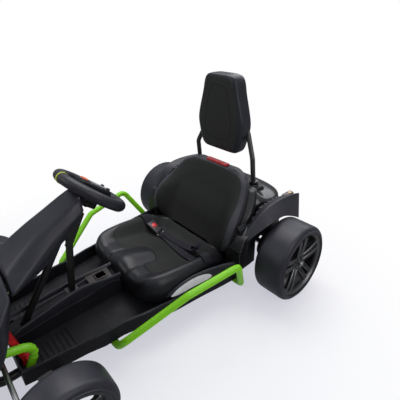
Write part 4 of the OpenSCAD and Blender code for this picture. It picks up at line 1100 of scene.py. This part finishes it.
thumbs = [math.radians(a) for a in (35, 145)]
grip = spin_ring(WHEEL_R, lambda a: 16.2 + 1.4 * max(math.exp(-((((a - t + math.pi) % (2 * math.pi)) - math.pi) / 0.22) ** 2)
                                                 for t in thumbs), "steering_wheel_grip", flat=0.96)
spokes = []
for side in (-1, 1):
    rings = []
    for t in spread(0, 1, 8):
        half, x = 17 - 6 * math.sin(math.pi * t), side * (30 + 58 * t)
        corners = [(x, -half, -9), (x, half, -9), (x, half - 2, 4 - 6 * t), (x, -half + 2, 4 - 6 * t)]
        rings.append(rounded_ring(corners, 4, steps=3))
    spokes.append(skin("spoke", rings))
rings = []
for t in spread(0, 1, 8):
    half, y = 22 - 5 * math.sin(math.pi * t), 30 + 57 * t
    rings.append(rounded_ring([(-half, y, -9), (half, y, -9), (half - 2, y, 16 - 20 * t), (-half + 2, y,
        16 - 20 * t)], 4, steps=3))
spokes.append(skin("spoke", rings))
grip = on_wheel(joined([grip] + spokes, "steering_wheel_grip"))
dress(grip, finishes["grip_satin"], body="steering_column", stands_for=["steering_wheel"], angle=40)
rings = []
for k in range(17):
    a = math.radians(-91.3 + 2.6 * k / 16)
    rings.append([((WHEEL_R + 17.1 * math.cos(b)) * math.cos(a), (WHEEL_R + 17.1 * math.cos(b)) * math.sin(a),
        16.5 * math.sin(b))
                  for b in [2 * math.pi * i / 24 for i in range(24)]])
band = on_wheel(skin("steering_wheel_band", rings))
dress(band, finishes["yellow_band"], body="steering_column", angle=50)

# %% [markdown]
# The hub is a soft block that stands up from the spokes. It carries an orange horn button in
# a black well, a silver strip with fine ribs, and two small knobs, and a squarer collar
# below it hides the joint with the column.

# %% Steering hub
hub = block("steering_hub_block", 33, -56, 58, -18, 20, taper=0.72)
collar = block("collar", 28, -30, 30, -44, -17, corner=9, crown=0)
lugs = []
for side in (-1, 1):
    lug = turned("lug", [(-3, 0.5), (-3, 4.2), (-2, 5), (2.5, 5), (3, 4), (3, 0.5)], (side * 29, -6, -32), steps=18)
    lugs.append(lug)
hub = on_wheel(joined([hub, collar] + lugs, "steering_hub_block"))
dress(hub, finishes["matt_pan"], body="steering_column", stands_for=["steering_hub"], angle=40)
button = coated(turned("button", [(17, 0.4), (17, 13), (22, 13), (24.5, 11.5), (26, 8), (26.6, 0.4)], (0, -36, 0),
    along=(0, 0, 1), steps=40), "orange_gloss")
well = coated(turned("well", [(18, 13.4), (18, 18), (21.8, 18), (23, 17), (23, 13.8), (22, 13.4)], (0, -36, 0),
    along=(0, 0, 1), steps=40), "rim_black")
strip_parts = [block("strip", 8, -14, 52, 18, 23.2, corner=3, crown=0.4, levels=0)]
strip_parts[0].data.materials.append(finishes["silver_paint"])
for k in range(12):
    rib = coated(turned("rib", [(-6.2, 0.3), (-6.2, 0.9), (6.2, 0.9), (6.2, 0.3)], (0, -8 + 5 * k, 23.2), steps=8),
        "silver_paint")
    strip_parts.append(rib)
knobs = []
for side in (-1, 1):
    knob = coated(turned("knob", [(16, 0.4), (16, 6), (24.5, 6), (26.5, 5), (27.5, 3), (27.8, 0.4)], (side * 17, 40,
        0), along=(0, 0, 1), steps=24), "rim_black")
    knobs.append(knob)
controls = on_wheel(joined([button, well] + strip_parts + knobs, "wheel_controls"))
dress(controls, finishes["orange_gloss"], body="steering_column", stands_for=["wheel_buttons"],
    angle=35)
print("steering wheel's centre", [round(v, 4) for v in to_wheel.translation])

# %% [markdown]
# The lap belt is flat webbing that lies on the seat. A cloth simulation would erase so thin a strip, so each stretch
# is a skin along a given route whose height comes from the seat's own surface. Its loose tail curls over once, as
# stiff webbing does.

# %% Lap belt
def route_points(route, count):
    read = smooth_rows([(k, *point) for k, point in enumerate(route)])
    return [Vector(read(t)) for t in spread(0, len(route) - 1, count)]


def webbing(name, route, width=33, thick=2.2, count=40, on_seat=True):
    """Route points are x, y and height over the seat, or over the floor."""
    points = route_points(route, count)
    rings = []
    for k, p in enumerate(points):
        ahead = points[min(k + 1, count - 1)] - points[max(k - 1, 0)]
        side = Vector((-ahead.y, ahead.x, 0)).normalized() * width / 2
        if side.length == 0:
            side = Vector((0, width / 2, 0))
        ring = []
        for w, rise in ((-1, 0), (-0.6, 0), (0, 0), (0.6, 0), (1, 0), (1, 1), (0.6, 1), (0, 1), (-0.6, 1), (-1, 1)):
            q = p + side * w
            base = seat_surface(q.x, min(max(q.y, -80), 234)) if on_seat else 0
            ring.append((q.x, q.y, base + p.z + rise * thick))
        rings.append(ring)
    return skin(name, rings)


lap = webbing("seat_belt_lap", [(-80, 160, 5), (-40, 160, 2.5), (14, 152, 2.2), (70, 146, 2.4), (112, 148, 2.6), (150,
    151, 2.8),
                                (180, 152, 2.6), (190, 152, 2.2), (196, 152, 2.0)], count=64)
far_lap = webbing("far", [(-196, 149, 2), (-188, 149, 2.2), (-172, 148, 2.6), (-150, 149, 3.4), (-138, 150, 7)],
    count=30)
tail = webbing("tail", [(-84, 168, 9), (-40, 172, 7), (20, 176, 6), (70, 180, 10), (98, 182, 20), (108, 183, 30),
    (102, 184, 39),
                        (90, 184, 36), (84, 184, 28), (86, 184, 20)], width=30, count=70)
belt = joined([lap, far_lap, tail], "seat_belt_webbing")
dress(belt, finishes["webbing"], stands_for=["seat_belt"], angle=50)

# %% [markdown]
# The buckle is a ribbed black box with a red release button. A bright steel tongue runs
# into its end, and the webbing threads the tongue's slot.

# %% Belt buckle
def tilted_block(name, half_x, half_y, low, high, finish, corner=3):
    rings = []
    for z, inset in ((low, 1.5), (low + 1.2, 0.2), (low + 2, 0), (high - 2.2, 0), (high - 0.8, 0.7), (high, 2)):
        a, b = half_x - inset, half_y - inset
        rings.append(rounded_ring([(-a, -b, z), (a, -b, z), (a, b, z), (-a, b, z)], corner, steps=3))
    piece = skin(name, rings)
    piece.data.materials.append(finishes[finish])
    return piece


box_part = tilted_block("box", 29, 19, 0, 14, "buckle_black")
red = tilted_block("red", 9.5, 10.5, 9, 16, "red_gloss", corner=2)
shift(red, -7, 0, 0)
parts = [box_part, red]
for k in range(4):
    rib = tilted_block("rib", 0.9, 14, 12, 15, "buckle_black", corner=0.5)
    shift(rib, 9 + 4 * k, 0, 0)
    parts.append(rib)
for y, half in ((-15, 3), (15, 3)):
    arm = tilted_block("arm", 13, half, 3.6, 6.6, "chrome", corner=1)
    shift(arm, 38, y, 0)
    parts.append(arm)
for x, half in ((29, 4), (49, 2.6)):
    bar = tilted_block("bar", half, 17.8, 3.6, 7, "chrome", corner=1)
    shift(bar, x, 0, 0)
    parts.append(bar)
buckle = joined(parts, "belt_buckle_box")
left_z, right_z = seat_surface(-146, 152), seat_surface(-88, 156)
lie = Matrix.Translation((-0.117, 0.153, (left_z + right_z) / 2000 + 0.001)) @ Matrix.Rotation(math.radians(14), 4,
    "Z") \
    @ Matrix.Rotation(math.atan2(left_z - right_z, 58), 4, "Y")
buckle.data.transform(lie)
dress(buckle, finishes["buckle_black"], stands_for=["belt_buckle"], angle=30)

# %% [markdown]
# Behind the seat back a dark moulding closes the space to the hood. The photo shows no gap
# there, but not what fills it, so this is a guess that follows the seat back's outline.

# %% Seat surround
rings = []
for z in spread(112, 352, 22):
    half, face, lead = back_table(max(z, 150))
    reach = min(half + 22 - 0.05 * max(z - 210, 0), 229)
    front, rear = [], []
    for k in range(21):
        s = -1 + 2 * k / 20
        curl = lead * ease((abs(s) - 0.5) / 0.42)
        front.append((reach * s, face + curl * 0.8 + 31 + (6 if abs(s) > 0.93 else 0), z))
        rear.append((reach * s, face + curl * 0.5 + 62, z))
    rings.append(front + rear[::-1])
surround = skin("seat_surround", rings, levels=1)
dress(surround, finishes["rim_black"], angle=40)

# %% [markdown]
# The side panels below the cushion are leaf-shaped, with a pale plate let into each. On the
# real kart the plates carry lettering; here they are left bare.

# %% Side panels and plates
panel_table = smooth_rows([(-24, 196, 112, 124), (-8, 205, 108, 140), (24, 210, 108, 152), (70, 214, 110, 158), (110,
    221, 112, 159),
                           (150, 229, 114, 157), (190, 238, 116, 154), (236, 250, 118, 149)])


def panel_ring(y):
    x, _, top = panel_table(y)
    foot = 120.3
    return rounded_ring([(x - 12, y, foot), (x - 1, y, foot), (x + 2.5, y, foot + 8), (x - 3, y, top - 5), (x - 9, y,
        top),
                         (x - 13, y, top - 4)], (1, 2, 4, 4, 3, 1), steps=3)


panels = skin("side_panel_left", [panel_ring(y) for y in spread(-24, 236, 36)])
panels = pair(panels, "side_panel_skins")
dress(panels, finishes["satin_panel"], stands_for=["side_panels"], angle=35)
plate_table = smooth_rows([(-14, 126, 128), (-6, 124, 133), (10, 123, 141), (40, 123, 148), (80, 124, 151), (110, 126,
    149), (128, 129, 143),
                           (134, 133, 137)])
rings = []
for y in spread(-14, 134, 30):
    low, high = plate_table(y)
    x, _, top = panel_table(y)
    ring = []
    for w, out in ((0, 0), (0.12, 1.4), (0.5, 2.4), (0.88, 1.8), (1, 0.2), (1, -1.5), (0, -1.5)):
        z = low + (high - low) * w
        face_x = x + 2.5 - 5.5 * min(max((z - 128.3) / (top - 5 - 128.3), 0), 1.2)
        ring.append((face_x + out, y, z))
    rings.append(ring)
plate = skin("pale_plate_left", rings)
plate = pair(plate, "pale_plates")
dress(plate, finishes["pale_plate"], stands_for=["lens_plates"], angle=40)

# %% [markdown]
# The headrest's posts stand in two black clamps on the hood. Each is a ribbed sleeve on a
# slanted foot with a screw, turned once and copied.

# %% Post clamps
sleeve = turned("sleeve", [(0, 9.4), (0, 20.5), (3, 21.5), (10, 21.5), (13, 19.5), (15, 19.5), (18, 20.5), (21, 20.5),
    (24, 18.4),
                           (26, 18.4), (29, 19.2), (32, 19.2), (35, 16.8), (40, 16.4), (43, 17.4), (47, 16.4), (48,
                               14), (48, 9.4)],
                (144, 430, 305), along=(0, 0, 1), steps=36)
foot = skin("foot", [rounded_ring([(144 - a, 430 - b, z), (144 + a, 430 - b, z), (144 + a, 430 + b + 6, z), (144 - a,
    430 + b + 6, z)],
                                  8, steps=3) for z, a, b in ((300, 27, 30), (318, 27, 30), (324, 25, 28), (334, 20,
                                      20))], levels=1)
screw = turned("screw", [(-3, 0.4), (-3, 4.4), (3, 4.4), (4.5, 3.6), (5, 2.2), (3.2, 0.4)], (144, 408, 331), along=(0,
    -0.75, 0.65), steps=18)
clamp = joined([sleeve, foot, screw], "post_clamp_left")
clamp = pair(clamp, "post_clamps")
dress(clamp, finishes["rim_black"], angle=30)

# %% [markdown]
# Lamps: each headlamp is a clear dome in a black bezel, and each tail lamp a smoked housing
# with a small amber lens at its end.

# %% Lamps
lamp_axis = Vector((0.3591, -0.8066, 0.4695))
lamp_at = Vector((118, FRONT_Y - 178, 116))
bezel = coated(turned("bezel", [(2, 15), (2, 24.5), (9, 24.5), (12.5, 22.5), (12.5, 19.8), (9, 18)], lamp_at,
    along=lamp_axis, steps=48), "rim_black")
dome = coated(turned("dome", [(4, 0.4), (4, 19.2), (9, 19.2), (12, 16.5), (14, 11), (15, 5), (15.2, 0.4)], lamp_at,
    along=lamp_axis, steps=48), "lamp_clear")
lamp = joined([bezel, dome], "headlamp_left")
lamp = pair(lamp, "headlamp_pair")
dress(lamp, finishes["lamp_clear"], stands_for=["headlamps"], angle=30)
housing = skin("housing", [rounded_ring([(221.5, y, 285.5), (244, y, 285.5), (243.5 - lean, y, 300.5), (222 + lean, y,
    300.5)], 3, steps=3)
                           for y, lean in ((500, 3), (502, 1), (510, 0), (540, 0), (548, 1), (550.5, 3))])
housing.data.materials.append(finishes["tail_red"])
amber = skin("amber", [rounded_ring([(226, y, 298), (241, y, 298), (240, y, 301.6), (227, y, 301.6)], 1.2, steps=2)
                       for y in (528, 529, 541, 542)])
amber.data.materials.append(finishes["amber_lens"])
tail_lamp = joined([housing, amber], "tail_lamp_left")
tail_lamp = pair(tail_lamp, "tail_lamp_pair")
dress(tail_lamp, finishes["tail_red"], stands_for=["tail_lamps"], angle=30)

# %% [markdown]
# Under the cover a slim square strut carries the column. Beside it the tunnel is edged by
# two upright flanges that fade out at both ends, the near one higher as in the photo, and a
# brownish plate on top of the tunnel frames the charge socket.

# %% Strut, tunnel flanges and socket plate
strut_rings = [rounded_ring([(-a, y - b, z), (a, y - b, z), (a, y + b, z), (-a, y + b, z)], 2, steps=2)
               for z, a, b, y in ((148.4, 16, 17, -232), (152.4, 16, 17, -232), (153, 8.4, 8.4, -232), (340, 8.4, 8.4,
                   -214))]
strut = skin("column_strut", strut_rings)
cheeks = []
for side in (-1, 1):
    cheek = skin("cheek", [rounded_ring([(x, -236, 318), (x, -212, 318), (x, -168, 398), (x, -190, 412)], 3, steps=2)
                           for x in (side * 15, side * 20)])
    cheeks.append(cheek)
strut = joined([strut] + cheeks, "column_strut")
dress(strut, finishes["black_tube"], stands_for=["column_support"], angle=30)
flange_table = smooth_rows([(-424, 41, 128, 134), (-400, 40, 130, 142), (-330, 37, 135, 156), (-260, 35, 140, 168),
    (-215, 34, 142, 171),
                            (-180, 34, 145, 167), (-150, 34, 148, 161), (-120, 34, 149, 156), (-86, 34, 150, 154)])


def flange_ring(y, share):
    outer, foot_z, top = flange_table(y)
    top = foot_z + 6 + (top - foot_z - 6) * share
    return (rounded_ring([(outer - 9, y, foot_z), (outer + 3.5, y, foot_z - 8), (outer + 2, y, top - 4), (outer - 1.5,
        y, top),
                          (outer - 5, y, top - 1)], (1, 1, 2.5, 1.5, 1.5), steps=2))


flange_ys = spread(-424, -86, 44)
flange = skin("flange", [flange_ring(y, 1.0) for y in flange_ys])
source = skin("twin", [flange_ring(y, 0.35) for y in flange_ys])
twin = mirrored(source, "far_flange")
bpy.data.objects.remove(source)
flanges = joined([flange, twin], "tunnel_flanges")
dress(flanges, finishes["satin_panel"], angle=35)
plate_z = 147.6
rings = []
for z, grow in ((plate_z - 1, 0), (plate_z + 1.4, 0), (plate_z + 2, -1)):
    rings.append(rounded_ring([(-27 - grow, -180, z), (22 + grow, -180, z), (29 + grow, -112 + grow, z), (-27 - grow,
        -104 + grow, z)], 3, steps=2))
socket_plate = skin("socket_plate", rings)
frame_ring = [rounded_ring([(-15 - g, -156 - g, z), (15 + g, -156 - g, z), (15 + g, -122 + g, z), (-15 - g, -122 + g,
    z)], 3, steps=2)
              for z, g in ((plate_z, 2), (plate_z + 5, 2), (plate_z + 6, 0.5), (plate_z + 6, -2), (plate_z + 2, -2))]
socket_frame = skin("frame", frame_ring)
socket_plate = joined([socket_plate, socket_frame], "socket_plate")
dress(socket_plate, finishes["brown_plate"], angle=30)

# %% [markdown]
# The studio is a pale sweep. The floor takes the kart's soft shadow near it and fades to
# plain white further out, so the picture has the white ground of a catalogue without any
# extra light on the kart.

# %% Floor
bpy.ops.object.select_all(action="DESELECT")
bpy.ops.mesh.primitive_plane_add(size=60)
floor = bpy.context.object
floor.name = "studio_floor"
floor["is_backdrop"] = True
ground = bpy.data.materials.new("studio_ground")
ground.use_nodes = True
tree = ground.node_tree
tree.nodes.clear()
out = add(tree, "ShaderNodeOutputMaterial")
lit = add(tree, "ShaderNodeBsdfDiffuse", Color=(0.86, 0.86, 0.8, 1))
own = add(tree, "ShaderNodeEmission", Color=(0.52, 0.52, 0.585, 1), Strength=1.0)
dim_lit = add(tree, "ShaderNodeBsdfDiffuse", Color=(0.42, 0.42, 0.38, 1))
both = add(tree, "ShaderNodeAddShader")
white = add(tree, "ShaderNodeEmission", Color=(1, 1, 1, 1), Strength=1.0)
place = add(tree, "ShaderNodeTexCoord").outputs["Object"]
distance = add(tree, "ShaderNodeVectorMath", operation="LENGTH")
join(tree, place, distance.inputs[0])
fade = add(tree, "ShaderNodeMapRange", interpolation_type="SMOOTHSTEP")
fade.inputs["From Min"].default_value = 0.5
fade.inputs["From Max"].default_value = 1.15
join(tree, distance.outputs["Value"], fade.inputs["Value"])
join(tree, dim_lit.outputs[0], both.inputs[0])
join(tree, own.outputs[0], both.inputs[1])
ground_mix = add(tree, "ShaderNodeMixShader")
join(tree, fade.outputs[0], ground_mix.inputs[0])
join(tree, both.outputs[0], ground_mix.inputs[1])
join(tree, white.outputs[0], ground_mix.inputs[2])
rays = add(tree, "ShaderNodeLightPath")
mirrored_floor = add(tree, "ShaderNodeEmission", Color=(0.9, 0.92, 1, 1), Strength=0.3)
unseen = add(tree, "ShaderNodeMixShader")
join(tree, rays.outputs["Is Glossy Ray"], unseen.inputs[0])
join(tree, lit.outputs[0], unseen.inputs[1])
join(tree, mirrored_floor.outputs[0], unseen.inputs[2])
choose = add(tree, "ShaderNodeMixShader")
join(tree, math_node(tree, "ADD", rays.outputs["Is Camera Ray"], rays.outputs["Is Transmission Ray"], clamp=True),
    choose.inputs[0])
join(tree, unseen.outputs[0], choose.inputs[1])
join(tree, ground_mix.outputs[0], choose.inputs[2])
join(tree, choose.outputs[0], out.inputs["Surface"])
floor.data.materials.append(ground)

# %% [markdown]
# A large soft box overhead and a little behind gives the bright tops and the shadow that
# falls forward. A lower one behind the kart makes the satin tops shine towards the camera,
# and two weaker boxes fill the front and the near side. Mirror rays see a sky that is dim at
# the horizon, so black plastic keeps its depth on a white ground.

# %% World and lamps
world = bpy.data.worlds.new("studio")
bpy.context.scene.world = world
world.use_nodes = True
tree = world.node_tree
tree.nodes.clear()
out = add(tree, "ShaderNodeOutputWorld")
seen_sky = add(tree, "ShaderNodeBackground", Color=(1, 1, 1, 1), Strength=1.0)
soft_sky = add(tree, "ShaderNodeBackground", Color=(0.96, 0.97, 1, 1), Strength=0.34)
mirrored_sky = add(tree, "ShaderNodeBackground", Color=(0.9, 0.93, 1, 1))
rays = add(tree, "ShaderNodeLightPath")
height = add(tree, "ShaderNodeSeparateXYZ")
join(tree, add(tree, "ShaderNodeTexCoord").outputs["Generated"], height.inputs[0])
rise = add(tree, "ShaderNodeMapRange")
rise.inputs["From Min"].default_value = 0.1
rise.inputs["To Min"].default_value = 0.16
rise.inputs["To Max"].default_value = 1.0
join(tree, height.outputs["Z"], rise.inputs["Value"])
join(tree, rise.outputs[0], mirrored_sky.inputs["Strength"])
unseen = add(tree, "ShaderNodeMixShader")
join(tree, rays.outputs["Is Glossy Ray"], unseen.inputs[0])
join(tree, soft_sky.outputs[0], unseen.inputs[1])
join(tree, mirrored_sky.outputs[0], unseen.inputs[2])
seen = math_node(tree, "ADD", rays.outputs["Is Camera Ray"], rays.outputs["Is Transmission Ray"], clamp=True)
choose = add(tree, "ShaderNodeMixShader")
join(tree, seen, choose.inputs[0])
join(tree, unseen.outputs[0], choose.inputs[1])
join(tree, seen_sky.outputs[0], choose.inputs[2])
join(tree, choose.outputs[0], out.inputs["Surface"])


def soft_box(name, place, aim, width, height, watts, colour=(1, 1, 1)):
    bpy.ops.object.light_add(type="AREA", location=place)
    lamp = bpy.context.object
    lamp.name = name
    lamp.data.shape = "RECTANGLE"
    lamp.data.size, lamp.data.size_y = width, height
    lamp.data.energy = watts
    lamp.data.color = colour
    lamp.rotation_euler = (Vector(aim) - Vector(place)).to_track_quat("-Z", "Y").to_euler()
    return lamp


soft_box("top_box", (-0.6, 0.9, 2.6), (0, 0, 0.2), 2.4, 1.6, 50)
soft_box("side_box", (2.4, 0.2, 1.5), (0.1, 0.1, 0.3), 1.2, 1.6, 14)
soft_box("back_box", (-0.8, 3.4, 2.0), (0, 0.2, 0.3), 3.0, 1.4, 30, (0.95, 0.96, 1))
soft_box("front_box", (-1.2, -2.4, 1.7), (0, 0, 0.3), 1.6, 1.2, 12)

# %% Size and finish
low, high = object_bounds()
{"cad": [list(cad_low), list(cad_high)], "visual": [list(low), list(high)]}
print("visual size", [round(v, 4) for v in high - low], "cad size", [round(v, 4) for v in cad_high - cad_low])
